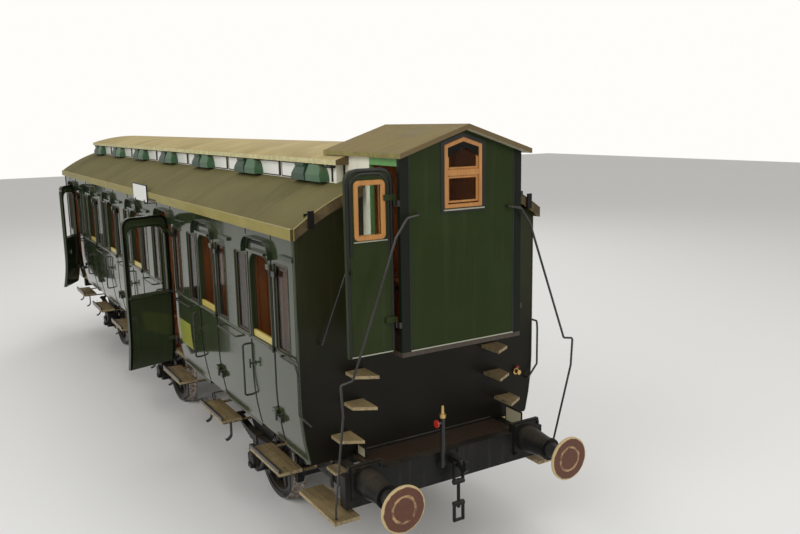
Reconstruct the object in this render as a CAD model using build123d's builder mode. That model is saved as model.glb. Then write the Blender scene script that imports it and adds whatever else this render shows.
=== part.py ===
from build123d import *
import math
import os

os.makedirs("parts", exist_ok=True)

# All sizes are in millimetres. X runs along the coach towards the brakeman's end,
# Y across it, Z up from the rail head. Side a is at -Y, side b at +Y.

# Body shell
compartments = 7
pitch = 1580.0
end_margin = 20.0
half_width = 1280.0
sill_z = 1120.0
eave_z = 3200.0
wall_t = 45.0
end_wall_t = 50.0
tuck_in = 80.0
tuck_z = 1750.0
waist_z = 2050.0
letterboard_z = 2880.0

# Side doors and windows
door_w = 600.0
door_gap = 6.0
door_bottom_z = 1166.0
door_top_z = 3010.0
door_corner_r = 110.0
door_window_w = 480.0
door_window_z = (2075.0, 2885.0)
door_window_r = 130.0
open_doors = {("a", 3): 106.0, ("a", 7): 150.0}
side_window_w = 300.0
side_window_z = (2075.0, 2860.0)
side_window_r = 20.0
window_margin = 40.0
glass_t = 6.0
hinge_r = 11.0
hinge_stand = 22.0
hinge_len = 48.0
hinge_strap = 95.0
hinge_heights = (1450.0, 2790.0)
handle_z = 1810.0
handle_inset = 75.0
handle_stand = 45.0
handle_shaft_r = 11.0
handle_len = 88.0
handle_t = 16.0
vent_flap = (420.0, 22.0, 42.0)
vent_flap_z = 2918.0
hood_gap = 26.0
hood_t = 6.0
hood_d = 50.0
hood_drop = 150.0
window_hood_h = 34.0
window_hood_w = 280.0
window_hood_d = 25.0
window_hood_z = 2945.0
window_hood_shift = 665.0
partition_t = 30.0
seat_z = 440.0
seat_cushion_drop = 25.0
seat_nose = (60.0, 40.0)
seat_front_in = 110.0
seat_front_t = 25.0
seat_d = 470.0
seat_t = 30.0

# Roof and clerestory
roof_rise = 410.0
roof_t = 35.0
roof_overhang = 25.0
roof_end_overhang = 50.0
fascia_h = 95.0
fascia_t = 25.0
clerestory_step = 70.0
clerestory_inset = 350.0
clerestory_top_z = 3700.0
clerestory_rise = 165.0
clerestory_overhang = 60.0
clerestory_end_overhang = 110.0
clerestory_roof_t = 45.0
clerestory_wall_t = 30.0
pane_h = 130.0
pane_w = 700.0
vent_half_w = 320.0
vent_d = 100.0
vent_top_d = 60.0
vent_gap = 8.0
vent_cap_t = 20.0

# Brakeman's cabin
cabin_front = 610.0
cabin_half_w = 620.0
cabin_floor_z = 2190.0
cabin_floor_t = 40.0
cabin_eave_z = 3780.0
cabin_rise = 220.0
cabin_wall_t = 42.0
cabin_roof_t = 40.0
cabin_roof_front = 90.0
cabin_roof_side = 45.0
cabin_roof_back = 300.0
cabin_door_w = 430.0
cabin_door_z = (2196.0, 3710.0)
cabin_door_corner_r = 100.0
cabin_window_half_w = 185.0
cabin_window_z = (3360.0, 3770.0)
cabin_handle_z = 2900.0
cabin_hinges = (2450.0, 3450.0)
cabin_door_t = 36.0
cabin_door_window = (230.0, 3170.0, 3600.0)
cabin_door_window_r = 25.0
cabin_door_deg = 90.0
cabin_seat_z = 480.0
cabin_seat = (330.0, 560.0, 28.0, 200.0)
brake_column = (150.0, 200.0, 22.0, 950.0)
column_foot = (60.0, 12.0)
crank_arm = (270.0, 34.0, 18.0)
crank_grip = (16.0, 110.0)

# Underframe
frame_top_z = 1100.0
frame_h = 235.0
cross_shift = 900.0
cross_w = 80.0
cross_lift = 50.0
pad_margin = (30.0, 12.0)
frame_web_y = 938.0
frame_web_t = 12.0
frame_flange_w = 88.0
frame_flange_t = 14.0
floor_t = 55.0
headstock_t = 100.0
headstock_half_w = 1080.0
headstock_h = 290.0
near_headstock = 400.0
far_headstock = 150.0
platform_half_w = 790.0
platform_t = 30.0

# Buffers and drawgear
buffer_y = 875.0
buffer_z = 1050.0
buffer_len = 614.0
buffer_head_r = 200.0
buffer_base = 300.0
buffer_base_t = 22.0
pad_t = 40.0
casing_len = 360.0
casing_r = (125.0, 92.0)
casing_foot = 70.0
casing_lip = (30.0, 12.0)
plunger_r = 70.0
head_steps = (60.0, 34.0, 22.0, 8.0)
head_bevel = 16.0
hook_t = 42.0
hook_outline = ((0.0, -34.0), (150.0, -34.0), (178.0, -58.0), (232.0, -58.0), (262.0, -20.0),
                (262.0, 42.0), (240.0, 62.0), (214.0, 50.0), (222.0, 18.0), (204.0, -6.0),
                (178.0, -2.0), (160.0, 34.0), (0.0, 34.0))
hook_plate = (190.0, 170.0, 16.0)

# Running gear
axle_pitch = 3750.0
wheel_r = 500.0
tread_y = 750.0
wheel_back_y = 680.0
tyre_w = 135.0
flange_h = 28.0
tyre_t = 62.0
flange_steps = (8.0, 22.0, 40.0)
tread_cone = 4.0
rim_t = 38.0
rim_inset = 15.0
hub_r = 125.0
hub_w = 170.0
hub_bevel = 25.0
axle_seat_r = 72.0
axle_mid_r = 66.0
axle_taper = 30.0
spokes = 10
spoke_w = 62.0
spoke_t = 34.0
journal_y = 985.0
journal_r = 47.0
journal_clear = 0.3
box_w = 240.0
box_h = 250.0
box_d = 170.0
cover_r = 84.0
cover_d = 34.0
guard_t = 16.0
guard_leg = 95.0
guard_foot_z = 345.0
guard_knee_z = 720.0
guard_slot_z = (380.0, 730.0)
guard_half = 340.0
spring_half = 560.0
spring_w = 74.0
spring_leaf_t = 12.0
spring_leaves = 7
leaf_step = 0.115
saddle_h = 34.0
buckle_w = 110.0
buckle_t = 10.0
eye_r = 26.0
hanger_t = 20.0
hanger_margin = 45.0
hanger_half_ws = (60.0, 26.0)
spring_camber = 70.0

# Brake gear
block_gap = 8.0
block_t = 42.0
block_w = 76.0
block_half_h = 150.0
brake_hanger_t = 16.0
brake_hanger_w = 44.0
hanger_tail = 60.0
lever_half_ws = (45.0, 22.0)
brake_beam = (62.0, 84.0)
brake_rod_z = 375.0
brake_rod_r = 14.0
brake_shaft_x = 1350.0
brake_shaft_z = 720.0
brake_shaft_r = 27.0
cylinder_r = 150.0
cylinder_len = 380.0
cylinder_x = 600.0
cylinder_y = 330.0
reservoir_r = 165.0
reservoir_len = 1150.0
reservoir_x = -1900.0
tank_z = 800.0

# Coupling and brake pipe
coupling_pin_x = 120.0
coupling_pin_r = 14.0
coupling_rod_r = 12.0
coupling_drop = 430.0
coupling_w = 112.0
link_len = (180.0, 160.0)
link_y = 40.0
link_t = 16.0
pipe_r = 22.0
pipe_y = 120.0
pipe_stand = 52.0
pipe_z = (1010.0, 1590.0)
pipe_bend = 30.0
socket_h = 32.0
nozzle_h = 80.0
valve_z = 1430.0
valve_len = 72.0
valve_knob_t = 14.0

# Footboards and steps
footboard_z = 905.0
footboard_t = 32.0
footboard_len = 740.0
footboard_y = (1095.0, 1325.0)
bracket_w = 50.0
bracket_t = 12.0
bracket_short = 20.0
bracket_inset = 35.0
corner_brackets = (110.0, 330.0)
strap_drop = 140.0
step_rise = 277.0
step_count = 4
corner_step_z = 800.0
corner_step_back = 240.0
corner_step_front = 480.0
corner_y = (985.0, 1225.0)
tread_ys = (745.0, 770.0, 905.0, 960.0)
tread_len = 270.0
tread_w = 190.0
tread_t = 28.0
rail_r = 10.0
rail_stand = 55.0
rail_bend = 24.0
level_rail_z = 1995.0
level_rail_from = 150.0
level_rail_len = 540.0
upright_rail_gap = 95.0
upright_rail_z = (1440.0, 1960.0)
stair_rail = ((460.0, 3330.0), (580.0, 3310.0), (690.0, 3160.0), (1110.0, 2060.0),
              (1220.0, 2040.0), (1205.0, 1780.0), (1190.0, 900.0))
stair_rail_stand = 45.0
wall_rail = ((790.0, 3120.0), (790.0, 2900.0), (1080.0, 2200.0))
wall_rail_stand = 50.0
corner_rail_z = (2060.0, 1990.0, 1620.0, 1490.0)
corner_rail_len = 300.0
corner_rail_foot_y = 1200.0
seat_gap = 0.3

# Values that follow from the sizes above
body_half = compartments * pitch / 2 + end_margin
first_door_x = (compartments - 1) * pitch / 2
door_xs = [first_door_x - pitch * i for i in range(compartments)]
cabin_front_x = body_half + cabin_front
cabin_back_x = body_half - clerestory_inset
clerestory_half = body_half - clerestory_inset
near_headstock_x = body_half + near_headstock
far_headstock_x = -body_half - far_headstock
frame_bottom_z = frame_top_z - frame_h
hinge_y = half_width + hinge_stand
tuck_r = ((tuck_z - sill_z) ** 2 + tuck_in ** 2) / (2 * tuck_in)
roof_r = (half_width ** 2 + roof_rise ** 2) / (2 * roof_rise)
roof_inner_h = eave_z + roof_rise - roof_r
clerestory_crown_z = clerestory_top_z + clerestory_rise
cabin_ridge_z = cabin_eave_z + cabin_rise
clerestory_half_w = cabin_half_w + clerestory_step
sides = {"a": -1, "b": 1}


def side_y(z):
    """Half-width of the side's outer face: upright above tuck_z, an arc below it."""
    if z >= tuck_z:
        return half_width
    return half_width - tuck_r + math.sqrt(tuck_r ** 2 - (tuck_z - z) ** 2)


def section_plane(x, side):
    """Upright plane across the coach at x, with its first axis outwards on one side."""
    return Plane(origin=(x, 0, 0), x_dir=(0, side, 0), z_dir=(side, 0, 0))


def side_sketch_plane(side, y):
    """Upright plane along the coach at a distance y out on one side."""
    return Plane(origin=(0, side * y, 0), x_dir=(1, 0, 0), z_dir=(0, -1, 0))


def hinge_x(x, side):
    """Hinge line of a door: on the right-hand edge, seen from outside."""
    return x - side * (door_w + door_gap) / 2


def section_lines(y_out, y_in, z_low, z_high):
    """Closed outline of the curved side between two heights, for a BuildLine."""
    z_mid = (z_low + tuck_z) / 2
    outer = [(side_y(z) + y_out, z) for z in (z_low, z_mid, tuck_z)]
    inner = [(side_y(z) + y_in, z) for z in (tuck_z, z_mid, z_low)]
    ThreePointArc(*outer)
    if z_high > tuck_z:
        Polyline(outer[2], (half_width + y_out, z_high), (half_width + y_in, z_high), inner[0])
    else:
        Line(outer[2], inner[0])
    ThreePointArc(*inner)
    Line(inner[2], outer[0])


def roof_z(y):
    """Height of the lower roof's outer face above the eaves' arc at y."""
    return roof_inner_h + math.sqrt(roof_r ** 2 - y ** 2)


def bay_spans():
    """Start and end of each stretch of side wall between door openings."""
    half_open = door_w / 2 + door_gap
    edges = [body_half - end_wall_t]
    for x in door_xs:
        edges += [x + half_open, x - half_open]
    edges.append(-body_half + end_wall_t)
    return [(edges[i + 1], edges[i]) for i in range(0, len(edges), 2)]


def side_windows():
    """Middle of each side window: one on either hand of every door."""
    shift = door_w / 2 + door_gap + window_margin + side_window_w / 2
    return [x + s * shift for x in door_xs for s in (1, -1)]


def save(part, name):
    part.label = name
    export_step(part, f"parts/{name}.step")


# Lower side panels, sill to waist, one between each pair of doors
with BuildPart() as lower_panels:
    for side in sides.values():
        for x0, x1 in bay_spans():
            with BuildSketch(section_plane((x0 + x1) / 2, side)):
                with BuildLine():
                    section_lines(0, -wall_t, sill_z, waist_z)
                make_face()
            extrude(amount=(x1 - x0) / 2, both=True)
save(lower_panels.part, "lower_panels")

# Window panels, waist to letterboard, with the tall side windows cut through
window_mid_z = (side_window_z[0] + side_window_z[1]) / 2
window_h = side_window_z[1] - side_window_z[0]
with BuildPart() as window_panels:
    for side in sides.values():
        with BuildSketch(side_sketch_plane(side, half_width)):
            for x0, x1 in bay_spans():
                with Locations(((x0 + x1) / 2, (waist_z + letterboard_z) / 2)):
                    Rectangle(x1 - x0, letterboard_z - waist_z)
            for x in side_windows():
                with Locations((x, window_mid_z)):
                    RectangleRounded(side_window_w, window_h, side_window_r, mode=Mode.SUBTRACT)
        extrude(amount=side * wall_t)
save(window_panels.part, "window_panels")

# Panes of the side windows, in the middle of the wall
with BuildPart() as side_glass:
    for side in sides.values():
        with BuildSketch(side_sketch_plane(side, half_width - (wall_t - glass_t) / 2)):
            for x in side_windows():
                with Locations((x, window_mid_z)):
                    RectangleRounded(side_window_w - 2 * seat_gap, window_h - 2 * seat_gap,
                                     side_window_r - seat_gap)
        extrude(amount=side * glass_t)

# Letterboards above the windows, notched for the rounded door heads
with BuildPart() as letterboards:
    for side in sides.values():
        with BuildSketch(side_sketch_plane(side, half_width)):
            with Locations((0, (letterboard_z + eave_z) / 2)):
                Rectangle(2 * (body_half - end_wall_t), eave_z - letterboard_z)
            head_z = door_top_z + door_gap
            for x in door_xs:
                with Locations((x, (letterboard_z + head_z) / 2 - door_corner_r)):
                    RectangleRounded(door_w + 2 * door_gap,
                                     head_z - letterboard_z + 2 * door_corner_r,
                                     door_corner_r, mode=Mode.SUBTRACT)
        extrude(amount=side * wall_t)
save(letterboards.part, "letterboards")


def end_outline(half_w, crown):
    """Half of an end wall: curved side, eaves and roof arc, up to the middle line."""
    z_mid = (sill_z + tuck_z) / 2
    ThreePointArc(*[(side_y(z), z) for z in (sill_z, z_mid, tuck_z)])
    Line((half_w, tuck_z), (half_w, eave_z))
    y_mid = half_w / 2
    ThreePointArc((half_w, eave_z), (y_mid, roof_z(y_mid)), (0, crown))
    Polyline((0, crown), (0, sill_z), (side_y(sill_z), sill_z))


# End walls; the near one has a notch that the brakeman's cabin stands in
with BuildPart() as end_wall_far:
    with BuildSketch(Plane.YZ.offset(-body_half)):
        with BuildLine():
            end_outline(half_width, eave_z + roof_rise)
        make_face()
        mirror(about=Plane.YZ)
    extrude(amount=end_wall_t)

with BuildPart() as end_wall_near:
    with BuildSketch(Plane.YZ.offset(body_half - end_wall_t)):
        with BuildLine():
            end_outline(half_width, eave_z + roof_rise)
        make_face()
        mirror(about=Plane.YZ)
        notch_low = cabin_floor_z - cabin_floor_t - seat_gap
        with Locations((0, (notch_low + cabin_ridge_z) / 2)):
            Rectangle(2 * (cabin_half_w + seat_gap), cabin_ridge_z - notch_low,
                      mode=Mode.SUBTRACT)
    extrude(amount=end_wall_t)

with BuildPart() as end_walls:
    add([end_wall_far.part, end_wall_near.part])
save(end_walls.part, "end_walls")

# Floor and cross partitions between the compartments
floor_half_w = side_y(sill_z) - wall_t - seat_gap
with BuildPart() as floor:
    with BuildSketch(Plane.XY.offset(frame_top_z)):
        Rectangle(2 * (body_half - end_wall_t), 2 * floor_half_w)
    extrude(amount=floor_t)
save(floor.part, "floor")

floor_z = frame_top_z + floor_t
with BuildPart() as partitions:
    for i in range(compartments - 1):
        with BuildSketch(Plane.YZ.offset(door_xs[i] - pitch / 2)):
            with BuildLine():
                z_mid = (floor_z + tuck_z) / 2
                inner = [(side_y(z) - wall_t - seat_gap, z) for z in (floor_z, z_mid, tuck_z)]
                ThreePointArc(*inner)
                Polyline(inner[2], (half_width - wall_t - seat_gap, eave_z), (0, eave_z), (0, floor_z),
                         inner[0])
            make_face()
            mirror(about=Plane.YZ)
        extrude(amount=partition_t / 2, both=True)
save(partitions.part, "partitions")

# Wooden benches, two facing in each compartment: seat board and front board
with BuildPart() as benches:
    for x in door_xs:
        for s in (1, -1):
            wall_x = x + s * (pitch / 2 - partition_t / 2)
            wall_x = math.copysign(min(abs(wall_x), body_half - end_wall_t), wall_x)
            with BuildSketch(Plane.XZ.offset(-floor_half_w)):
                with BuildLine():
                    top = floor_z + seat_z
                    under = top - seat_t
                    nose = wall_x - s * seat_d
                    front = nose + s * seat_front_in
                    back = front + s * seat_front_t
                    Polyline((wall_x, top - seat_cushion_drop), (nose + s * seat_nose[0], top),
                             (nose, top - seat_cushion_drop / 2), (nose + s * seat_nose[1], under),
                             (front, under), (front, floor_z), (back, floor_z), (back, under),
                             (wall_x, under - seat_cushion_drop), close=True)
                make_face()
            extrude(amount=2 * floor_half_w)
save(benches.part, "benches")


def roof_section(y0, y1, z_drop):
    """Slice of the lower roof between two half-widths, as thick as z_drop."""
    ym = (y0 + y1) / 2
    ThreePointArc((y0, roof_z(y0)), (ym, roof_z(ym)), (y1, roof_z(y1)))
    Line((y1, roof_z(y1)), (y1, roof_z(y1) + z_drop))
    ThreePointArc((y1, roof_z(y1) + z_drop), (ym, roof_z(ym) + z_drop), (y0, roof_z(y0) + z_drop))
    Line((y0, roof_z(y0) + z_drop), (y0, roof_z(y0)))


# Lower roof decks, either side of the clerestory, and the short full-width ends
roof_half = body_half + roof_end_overhang
eave_y = half_width + roof_overhang
with BuildPart() as roof_decks:
    for side in sides.values():
        with BuildSketch(section_plane(0, side)):
            with BuildLine():
                roof_section(eave_y, clerestory_half_w, roof_t)
            make_face()
        extrude(amount=clerestory_half, both=True)
save(roof_decks.part, "roof_decks")

with BuildPart() as roof_ends:
    end_decks = ((clerestory_half, roof_half, cabin_half_w + seat_gap), (-roof_half, -clerestory_half, 0))
    for x0, x1, y_in in end_decks:
        for side in (sides.values() if y_in else (1,)):
            with BuildSketch(section_plane((x0 + x1) / 2, side)):
                with BuildLine():
                    roof_section(eave_y, y_in if y_in else -eave_y, roof_t)
                make_face()
            extrude(amount=(x1 - x0) / 2, both=True)
save(roof_ends.part, "roof_ends")

# Painted cornice boards along the eaves
with BuildPart() as cornice:
    for side in sides.values():
        with BuildSketch(section_plane(0, side)):
            with Locations((eave_y + fascia_t / 2, roof_z(eave_y) + roof_t - fascia_h / 2)):
                Rectangle(fascia_t, fascia_h)
        extrude(amount=roof_half, both=True)
    end_spans = ((roof_half + fascia_t / 2, -1, cabin_half_w + cabin_roof_side + seat_gap, eave_y - seat_gap),
                 (roof_half + fascia_t / 2, 1, cabin_half_w + cabin_roof_side + seat_gap, eave_y - seat_gap),
                 (-roof_half - fascia_t / 2, 1, seat_gap - eave_y, eave_y - seat_gap))
    for x, side, y0, y1 in end_spans:
        with BuildSketch(section_plane(x, side)):
            with BuildLine():
                y_mid = (y0 + y1) / 2
                upper = [(y, roof_z(y) + roof_t) for y in (y0, y_mid, y1)]
                lower = [(y, z - fascia_h) for y, z in upper]
                ThreePointArc(*upper)
                Line(upper[2], lower[2])
                ThreePointArc(*lower)
                Line(lower[0], upper[0])
            make_face()
        extrude(amount=fascia_t / 2, both=True)
save(cornice.part, "cornice")

# Clerestory: glazed sides, ends and the arched roof
pane_z = (roof_z(clerestory_half_w) + roof_t + clerestory_top_z) / 2
pane_xs = [x + s * pitch / 4 for x in door_xs for s in (1, -1)]
pane_xs = [x for x in pane_xs if abs(x) + pane_w / 2 < clerestory_half - 20]
with BuildPart() as clerestory_sides:
    for side in sides.values():
        with BuildSketch(side_sketch_plane(side, clerestory_half_w)):
            low = roof_z(clerestory_half_w)
            with Locations((0, (low + clerestory_top_z) / 2)):
                Rectangle(2 * clerestory_half, clerestory_top_z - low)
            for x in pane_xs:
                with Locations((x, pane_z)):
                    Rectangle(pane_w, pane_h, mode=Mode.SUBTRACT)
        extrude(amount=side * clerestory_wall_t)

with BuildPart() as clerestory_glass:
    for side in sides.values():
        pane_y = clerestory_half_w - (clerestory_wall_t - glass_t) / 2
        with BuildSketch(side_sketch_plane(side, pane_y)):
            for x in pane_xs:
                with Locations((x, pane_z)):
                    Rectangle(pane_w - 2 * seat_gap, pane_h - 2 * seat_gap)
        extrude(amount=side * glass_t)


def clerestory_arc_z(y):
    """Height of the clerestory roof's outer face: an arc over its overhanging eaves."""
    half = clerestory_half_w + clerestory_overhang
    rise = clerestory_crown_z - clerestory_top_z - clerestory_roof_t
    radius = (half ** 2 + rise ** 2) / (2 * rise)
    return clerestory_crown_z - radius + math.sqrt(radius ** 2 - y ** 2)


with BuildPart() as clerestory_roof:
    half = clerestory_half_w + clerestory_overhang
    with BuildSketch(Plane.YZ.offset(-clerestory_half - clerestory_end_overhang)):
        with BuildLine():
            ThreePointArc((half, clerestory_arc_z(half)), (0, clerestory_crown_z), (-half, clerestory_arc_z(half)))
            Polyline((-half, clerestory_arc_z(half)), (-half, clerestory_top_z), (half, clerestory_top_z),
                     (half, clerestory_arc_z(half)))
        make_face()
    extrude(amount=2 * (clerestory_half + clerestory_end_overhang))
    with BuildSketch(Plane.XY.offset(clerestory_top_z - clerestory_wall_t)):
        with Locations((cabin_back_x + cabin_front / 2 - seat_gap, 0)):
            Rectangle(cabin_front, 2 * (cabin_half_w + seat_gap))
    extrude(amount=2 * clerestory_rise, mode=Mode.SUBTRACT)
save(clerestory_roof.part, "clerestory_roof")

# Clerestory ends: the far one full width, the near one in two cheeks beside the cabin
near_cheek = (cabin_half_w + seat_gap, clerestory_half_w - clerestory_wall_t - seat_gap)
cheeks = ((-clerestory_half + clerestory_wall_t / 2, 1, (-near_cheek[1], near_cheek[1])),
          (clerestory_half - clerestory_wall_t / 2, -1, near_cheek),
          (clerestory_half - clerestory_wall_t / 2, 1, near_cheek))
with BuildPart() as clerestory_ends:
    for x, side, (y0, y1) in cheeks:
        with BuildSketch(section_plane(x, side)):
            with BuildLine():
                ThreePointArc(*[(y, roof_z(y) + roof_t) for y in (y0, (y0 + y1) / 2, y1)])
                Polyline((y1, roof_z(y1) + roof_t), (y1, clerestory_top_z), (y0, clerestory_top_z),
                         (y0, roof_z(y0) + roof_t))
            make_face()
        extrude(amount=clerestory_wall_t / 2, both=True)

with BuildPart() as clerestory_walls:
    add([clerestory_sides.part, clerestory_ends.part])
save(clerestory_walls.part, "clerestory_walls")

# Ventilators on the clerestory, one over each door: a capped slanted hood, an arched hood
# and a shallow diagonal panel between them, all deeper at the foot than at the top
vent_low = roof_z(clerestory_half_w) + roof_t + vent_gap
vent_high = clerestory_top_z - vent_gap
with BuildPart() as ventilators:
    for side in sides.values():
        with BuildSketch(side_sketch_plane(side, clerestory_half_w + seat_gap)):
            for x in door_xs:
                with BuildLine():
                    Polyline((x - vent_half_w, vent_low), (x - 0.8 * vent_half_w, vent_high),
                             (x - 0.2 * vent_half_w, vent_high), (x, vent_low), close=True)
                make_face()
                with BuildLine():
                    Line((x + 0.05 * vent_half_w, vent_high), (x + 0.55 * vent_half_w, vent_high))
                    ThreePointArc((x + 0.55 * vent_half_w, vent_high),
                                  (x + 0.9 * vent_half_w, (vent_low + 2 * vent_high) / 3),
                                  (x + vent_half_w, vent_low))
                    Polyline((x + vent_half_w, vent_low), (x + 0.05 * vent_half_w, vent_low),
                             (x + 0.05 * vent_half_w, vent_high))
                make_face()
        extrude(amount=-side * vent_d)
    with BuildSketch(section_plane(0, 1)):
        for side in sides.values():
            y0 = side * clerestory_half_w
            with BuildLine():
                Polyline((y0, vent_low - 1), (y0 + side * vent_d, vent_low - 1),
                         (y0 + side * vent_d, vent_low + vent_top_d), (y0 + side * vent_top_d, vent_high + 1),
                         (y0, vent_high + 1), close=True)
            make_face()
    extrude(amount=body_half, both=True, mode=Mode.INTERSECT)
    for side in sides.values():
        with BuildSketch(side_sketch_plane(side, clerestory_half_w + seat_gap)):
            for x in door_xs:
                with BuildLine():
                    Polyline((x - 0.25 * vent_half_w, vent_high - 10), (x + 0.1 * vent_half_w, vent_high - 10),
                             (x + 0.1 * vent_half_w, vent_low), (x - 0.05 * vent_half_w, vent_low), close=True)
                make_face()
        extrude(amount=-side * vent_top_d / 2)
        with BuildSketch(side_sketch_plane(side, clerestory_half_w + seat_gap)):
            for x in door_xs:
                with Locations((x - 0.5 * vent_half_w, vent_high - vent_cap_t / 2)):
                    Rectangle(0.62 * vent_half_w, vent_cap_t)
        extrude(amount=-side * (vent_top_d + vent_cap_t))
save(ventilators.part, "ventilators")


# Rain hoods bent over the rounded door heads, and flat hoods over the ventilated windows
with BuildPart() as side_hoods:
    for side in sides.values():
        with BuildSketch(side_sketch_plane(side, half_width)):
            top = door_top_z + door_gap + hood_gap
            for x in door_xs:
                with Locations((x, top - hood_drop)):
                    RectangleRounded(door_w + 2 * hood_gap + 2 * hood_t, 2 * hood_drop + 2 * hood_t,
                                     door_corner_r + hood_gap + hood_t)
            for x in door_xs:
                with Locations((x, top - hood_drop)):
                    RectangleRounded(door_w + 2 * hood_gap, 2 * hood_drop,
                                     door_corner_r + hood_gap, mode=Mode.SUBTRACT)
            with Locations((0, top - 1.5 * hood_drop - hood_t)):
                Rectangle(2 * body_half, hood_drop, mode=Mode.SUBTRACT)
        extrude(amount=-side * hood_d)
        with BuildSketch(side_sketch_plane(side, half_width)):
            for x in door_xs:
                with Locations((x - side * window_hood_shift, window_hood_z)):
                    Rectangle(window_hood_w, window_hood_h)
        extrude(amount=-side * window_hood_d)
save(side_hoods.part, "side_hoods")


def door_leaf(x, side, turn_deg):
    """One side door, closed or swung out on its hinges, with knuckles and handle."""
    edge_x = hinge_x(x, side)
    with BuildPart() as leaf:
        with BuildSketch(section_plane(x, side)):
            with BuildLine():
                section_lines(0, -wall_t, door_bottom_z, door_top_z)
            make_face()
        extrude(amount=door_w / 2, both=True)
        with BuildSketch(side_sketch_plane(side, half_width)):
            corner_mid = door_top_z - door_corner_r
            with Locations((x, corner_mid)):
                Rectangle(door_w + 20, 2 * door_corner_r + 40)
                RectangleRounded(door_w, 2 * door_corner_r, door_corner_r - 1, mode=Mode.SUBTRACT)
            with Locations((x, corner_mid - door_corner_r)):
                Rectangle(door_w + 40, 2 * door_corner_r, mode=Mode.SUBTRACT)
        extrude(amount=2 * wall_t, both=True, mode=Mode.SUBTRACT)
        with BuildSketch(side_sketch_plane(side, half_width)):
            with Locations((x, sum(door_window_z) / 2)):
                RectangleRounded(door_window_w, door_window_z[1] - door_window_z[0], door_window_r)
            with Locations((x, door_window_z[0] + door_window_r)):
                Rectangle(door_window_w, 2 * door_window_r)
        extrude(amount=2 * wall_t, both=True, mode=Mode.SUBTRACT)
        for z in hinge_heights:
            depth = hinge_y - side_y(z) + 8
            with BuildSketch(Plane.XY.offset(z + seat_gap)):
                with Locations((edge_x, side * hinge_y)):
                    Circle(hinge_r)
                with Locations((edge_x + side * hinge_strap / 2, side * (hinge_y - depth / 2))):
                    Rectangle(hinge_strap, depth)
            extrude(amount=hinge_len)
        handle_x = x + side * (door_w / 2 - handle_inset)
        with BuildSketch(side_sketch_plane(side, half_width - 4)):
            with Locations((handle_x, handle_z)):
                Circle(handle_shaft_r)
        extrude(amount=-side * (handle_stand + 4))
        with BuildSketch(side_sketch_plane(side, half_width + handle_stand)):
            with Locations((handle_x, handle_z)):
                Rectangle(handle_t, handle_len)
        extrude(amount=-side * handle_t)
        flap_w, flap_h, flap_d = vent_flap
        with BuildSketch(side_sketch_plane(side, half_width)):
            with Locations((x, vent_flap_z)):
                Rectangle(flap_w, flap_h)
        extrude(amount=-side * flap_d)
    return leaf.part.rotate(Axis((edge_x, side * hinge_y, 0), (0, 0, 1)), turn_deg)


for side_name, side in sides.items():
    for number, x in enumerate(door_xs, 1):
        save(door_leaf(x, side, open_doors.get((side_name, number), 0)), f"door_{side_name}{number}")

# Brakeman's cabin: floor, front, back, rear side panels and door headers
cabin_mid_x = (cabin_front_x + cabin_back_x) / 2
cabin_len = cabin_front_x - cabin_back_x
with BuildPart() as cabin_floor:
    with BuildSketch(Plane.XY.offset(cabin_floor_z - cabin_floor_t)):
        with Locations((cabin_mid_x, 0)):
            Rectangle(cabin_len, 2 * cabin_half_w)
    extrude(amount=cabin_floor_t)
save(cabin_floor.part, "cabin_floor")

cabin_slope = (cabin_ridge_z - cabin_eave_z) / (cabin_half_w + cabin_roof_side)
cabin_wall_top = cabin_eave_z + cabin_slope * cabin_roof_side


def gable_points(half_w):
    """Gabled outline of the cabin from its floor to under the roof."""
    top = cabin_eave_z + cabin_slope * (cabin_half_w + cabin_roof_side - half_w)
    return [(-half_w, cabin_floor_z), (half_w, cabin_floor_z), (half_w, top), (0, cabin_ridge_z),
            (-half_w, top)]


def cabin_window_points(inset):
    """Five-sided outline of the cabin's front window, its head following the gable."""
    half = cabin_window_half_w - inset
    low, high = cabin_window_z
    peak = high + cabin_slope * 2 * cabin_window_half_w - 2 * inset
    return [(-half, low + inset), (half, low + inset), (half, high - inset), (0, peak), (-half, high - inset)]


with BuildPart() as cabin_front_wall:
    with BuildSketch(Plane.YZ.offset(cabin_front_x - cabin_wall_t)):
        with BuildLine():
            Polyline(*gable_points(cabin_half_w), close=True)
        make_face()
        with BuildLine():
            Polyline(*cabin_window_points(0), close=True)
        make_face(mode=Mode.SUBTRACT)
    extrude(amount=cabin_wall_t)

with BuildPart() as cabin_back_wall:
    with BuildSketch(Plane.YZ.offset(cabin_back_x)):
        with BuildLine():
            Polyline(*gable_points(cabin_half_w), close=True)
        make_face()
    extrude(amount=cabin_wall_t)

with BuildPart() as cabin_ends:
    add([cabin_front_wall.part, cabin_back_wall.part])
save(cabin_ends.part, "cabin_ends")

with BuildPart() as cabin_glass:
    with BuildSketch(Plane.YZ.offset(cabin_front_x - cabin_wall_t / 2 - glass_t / 2)):
        with BuildLine():
            Polyline(*cabin_window_points(seat_gap), close=True)
        make_face()
    extrude(amount=glass_t)

# All fixed panes in one node
with BuildPart() as panes:
    add([side_glass.part, clerestory_glass.part, cabin_glass.part])
save(panes.part, "panes")

cabin_door_x1 = cabin_front_x - cabin_wall_t - door_gap
cabin_door_x0 = cabin_door_x1 - cabin_door_w
with BuildPart() as cabin_sides:
    for side in sides.values():
        with BuildSketch(side_sketch_plane(side, cabin_half_w)):
            x0 = cabin_back_x + cabin_wall_t
            x1 = cabin_door_x0 - door_gap
            x2 = cabin_front_x - cabin_wall_t
            head = cabin_door_z[1] + door_gap
            with BuildLine():
                Polyline((x0, cabin_floor_z), (x1, cabin_floor_z), (x1, head), (x2, head),
                         (x2, cabin_wall_top), (x0, cabin_wall_top), close=True)
            make_face()
        extrude(amount=side * cabin_wall_t)
save(cabin_sides.part, "cabin_sides")

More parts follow.
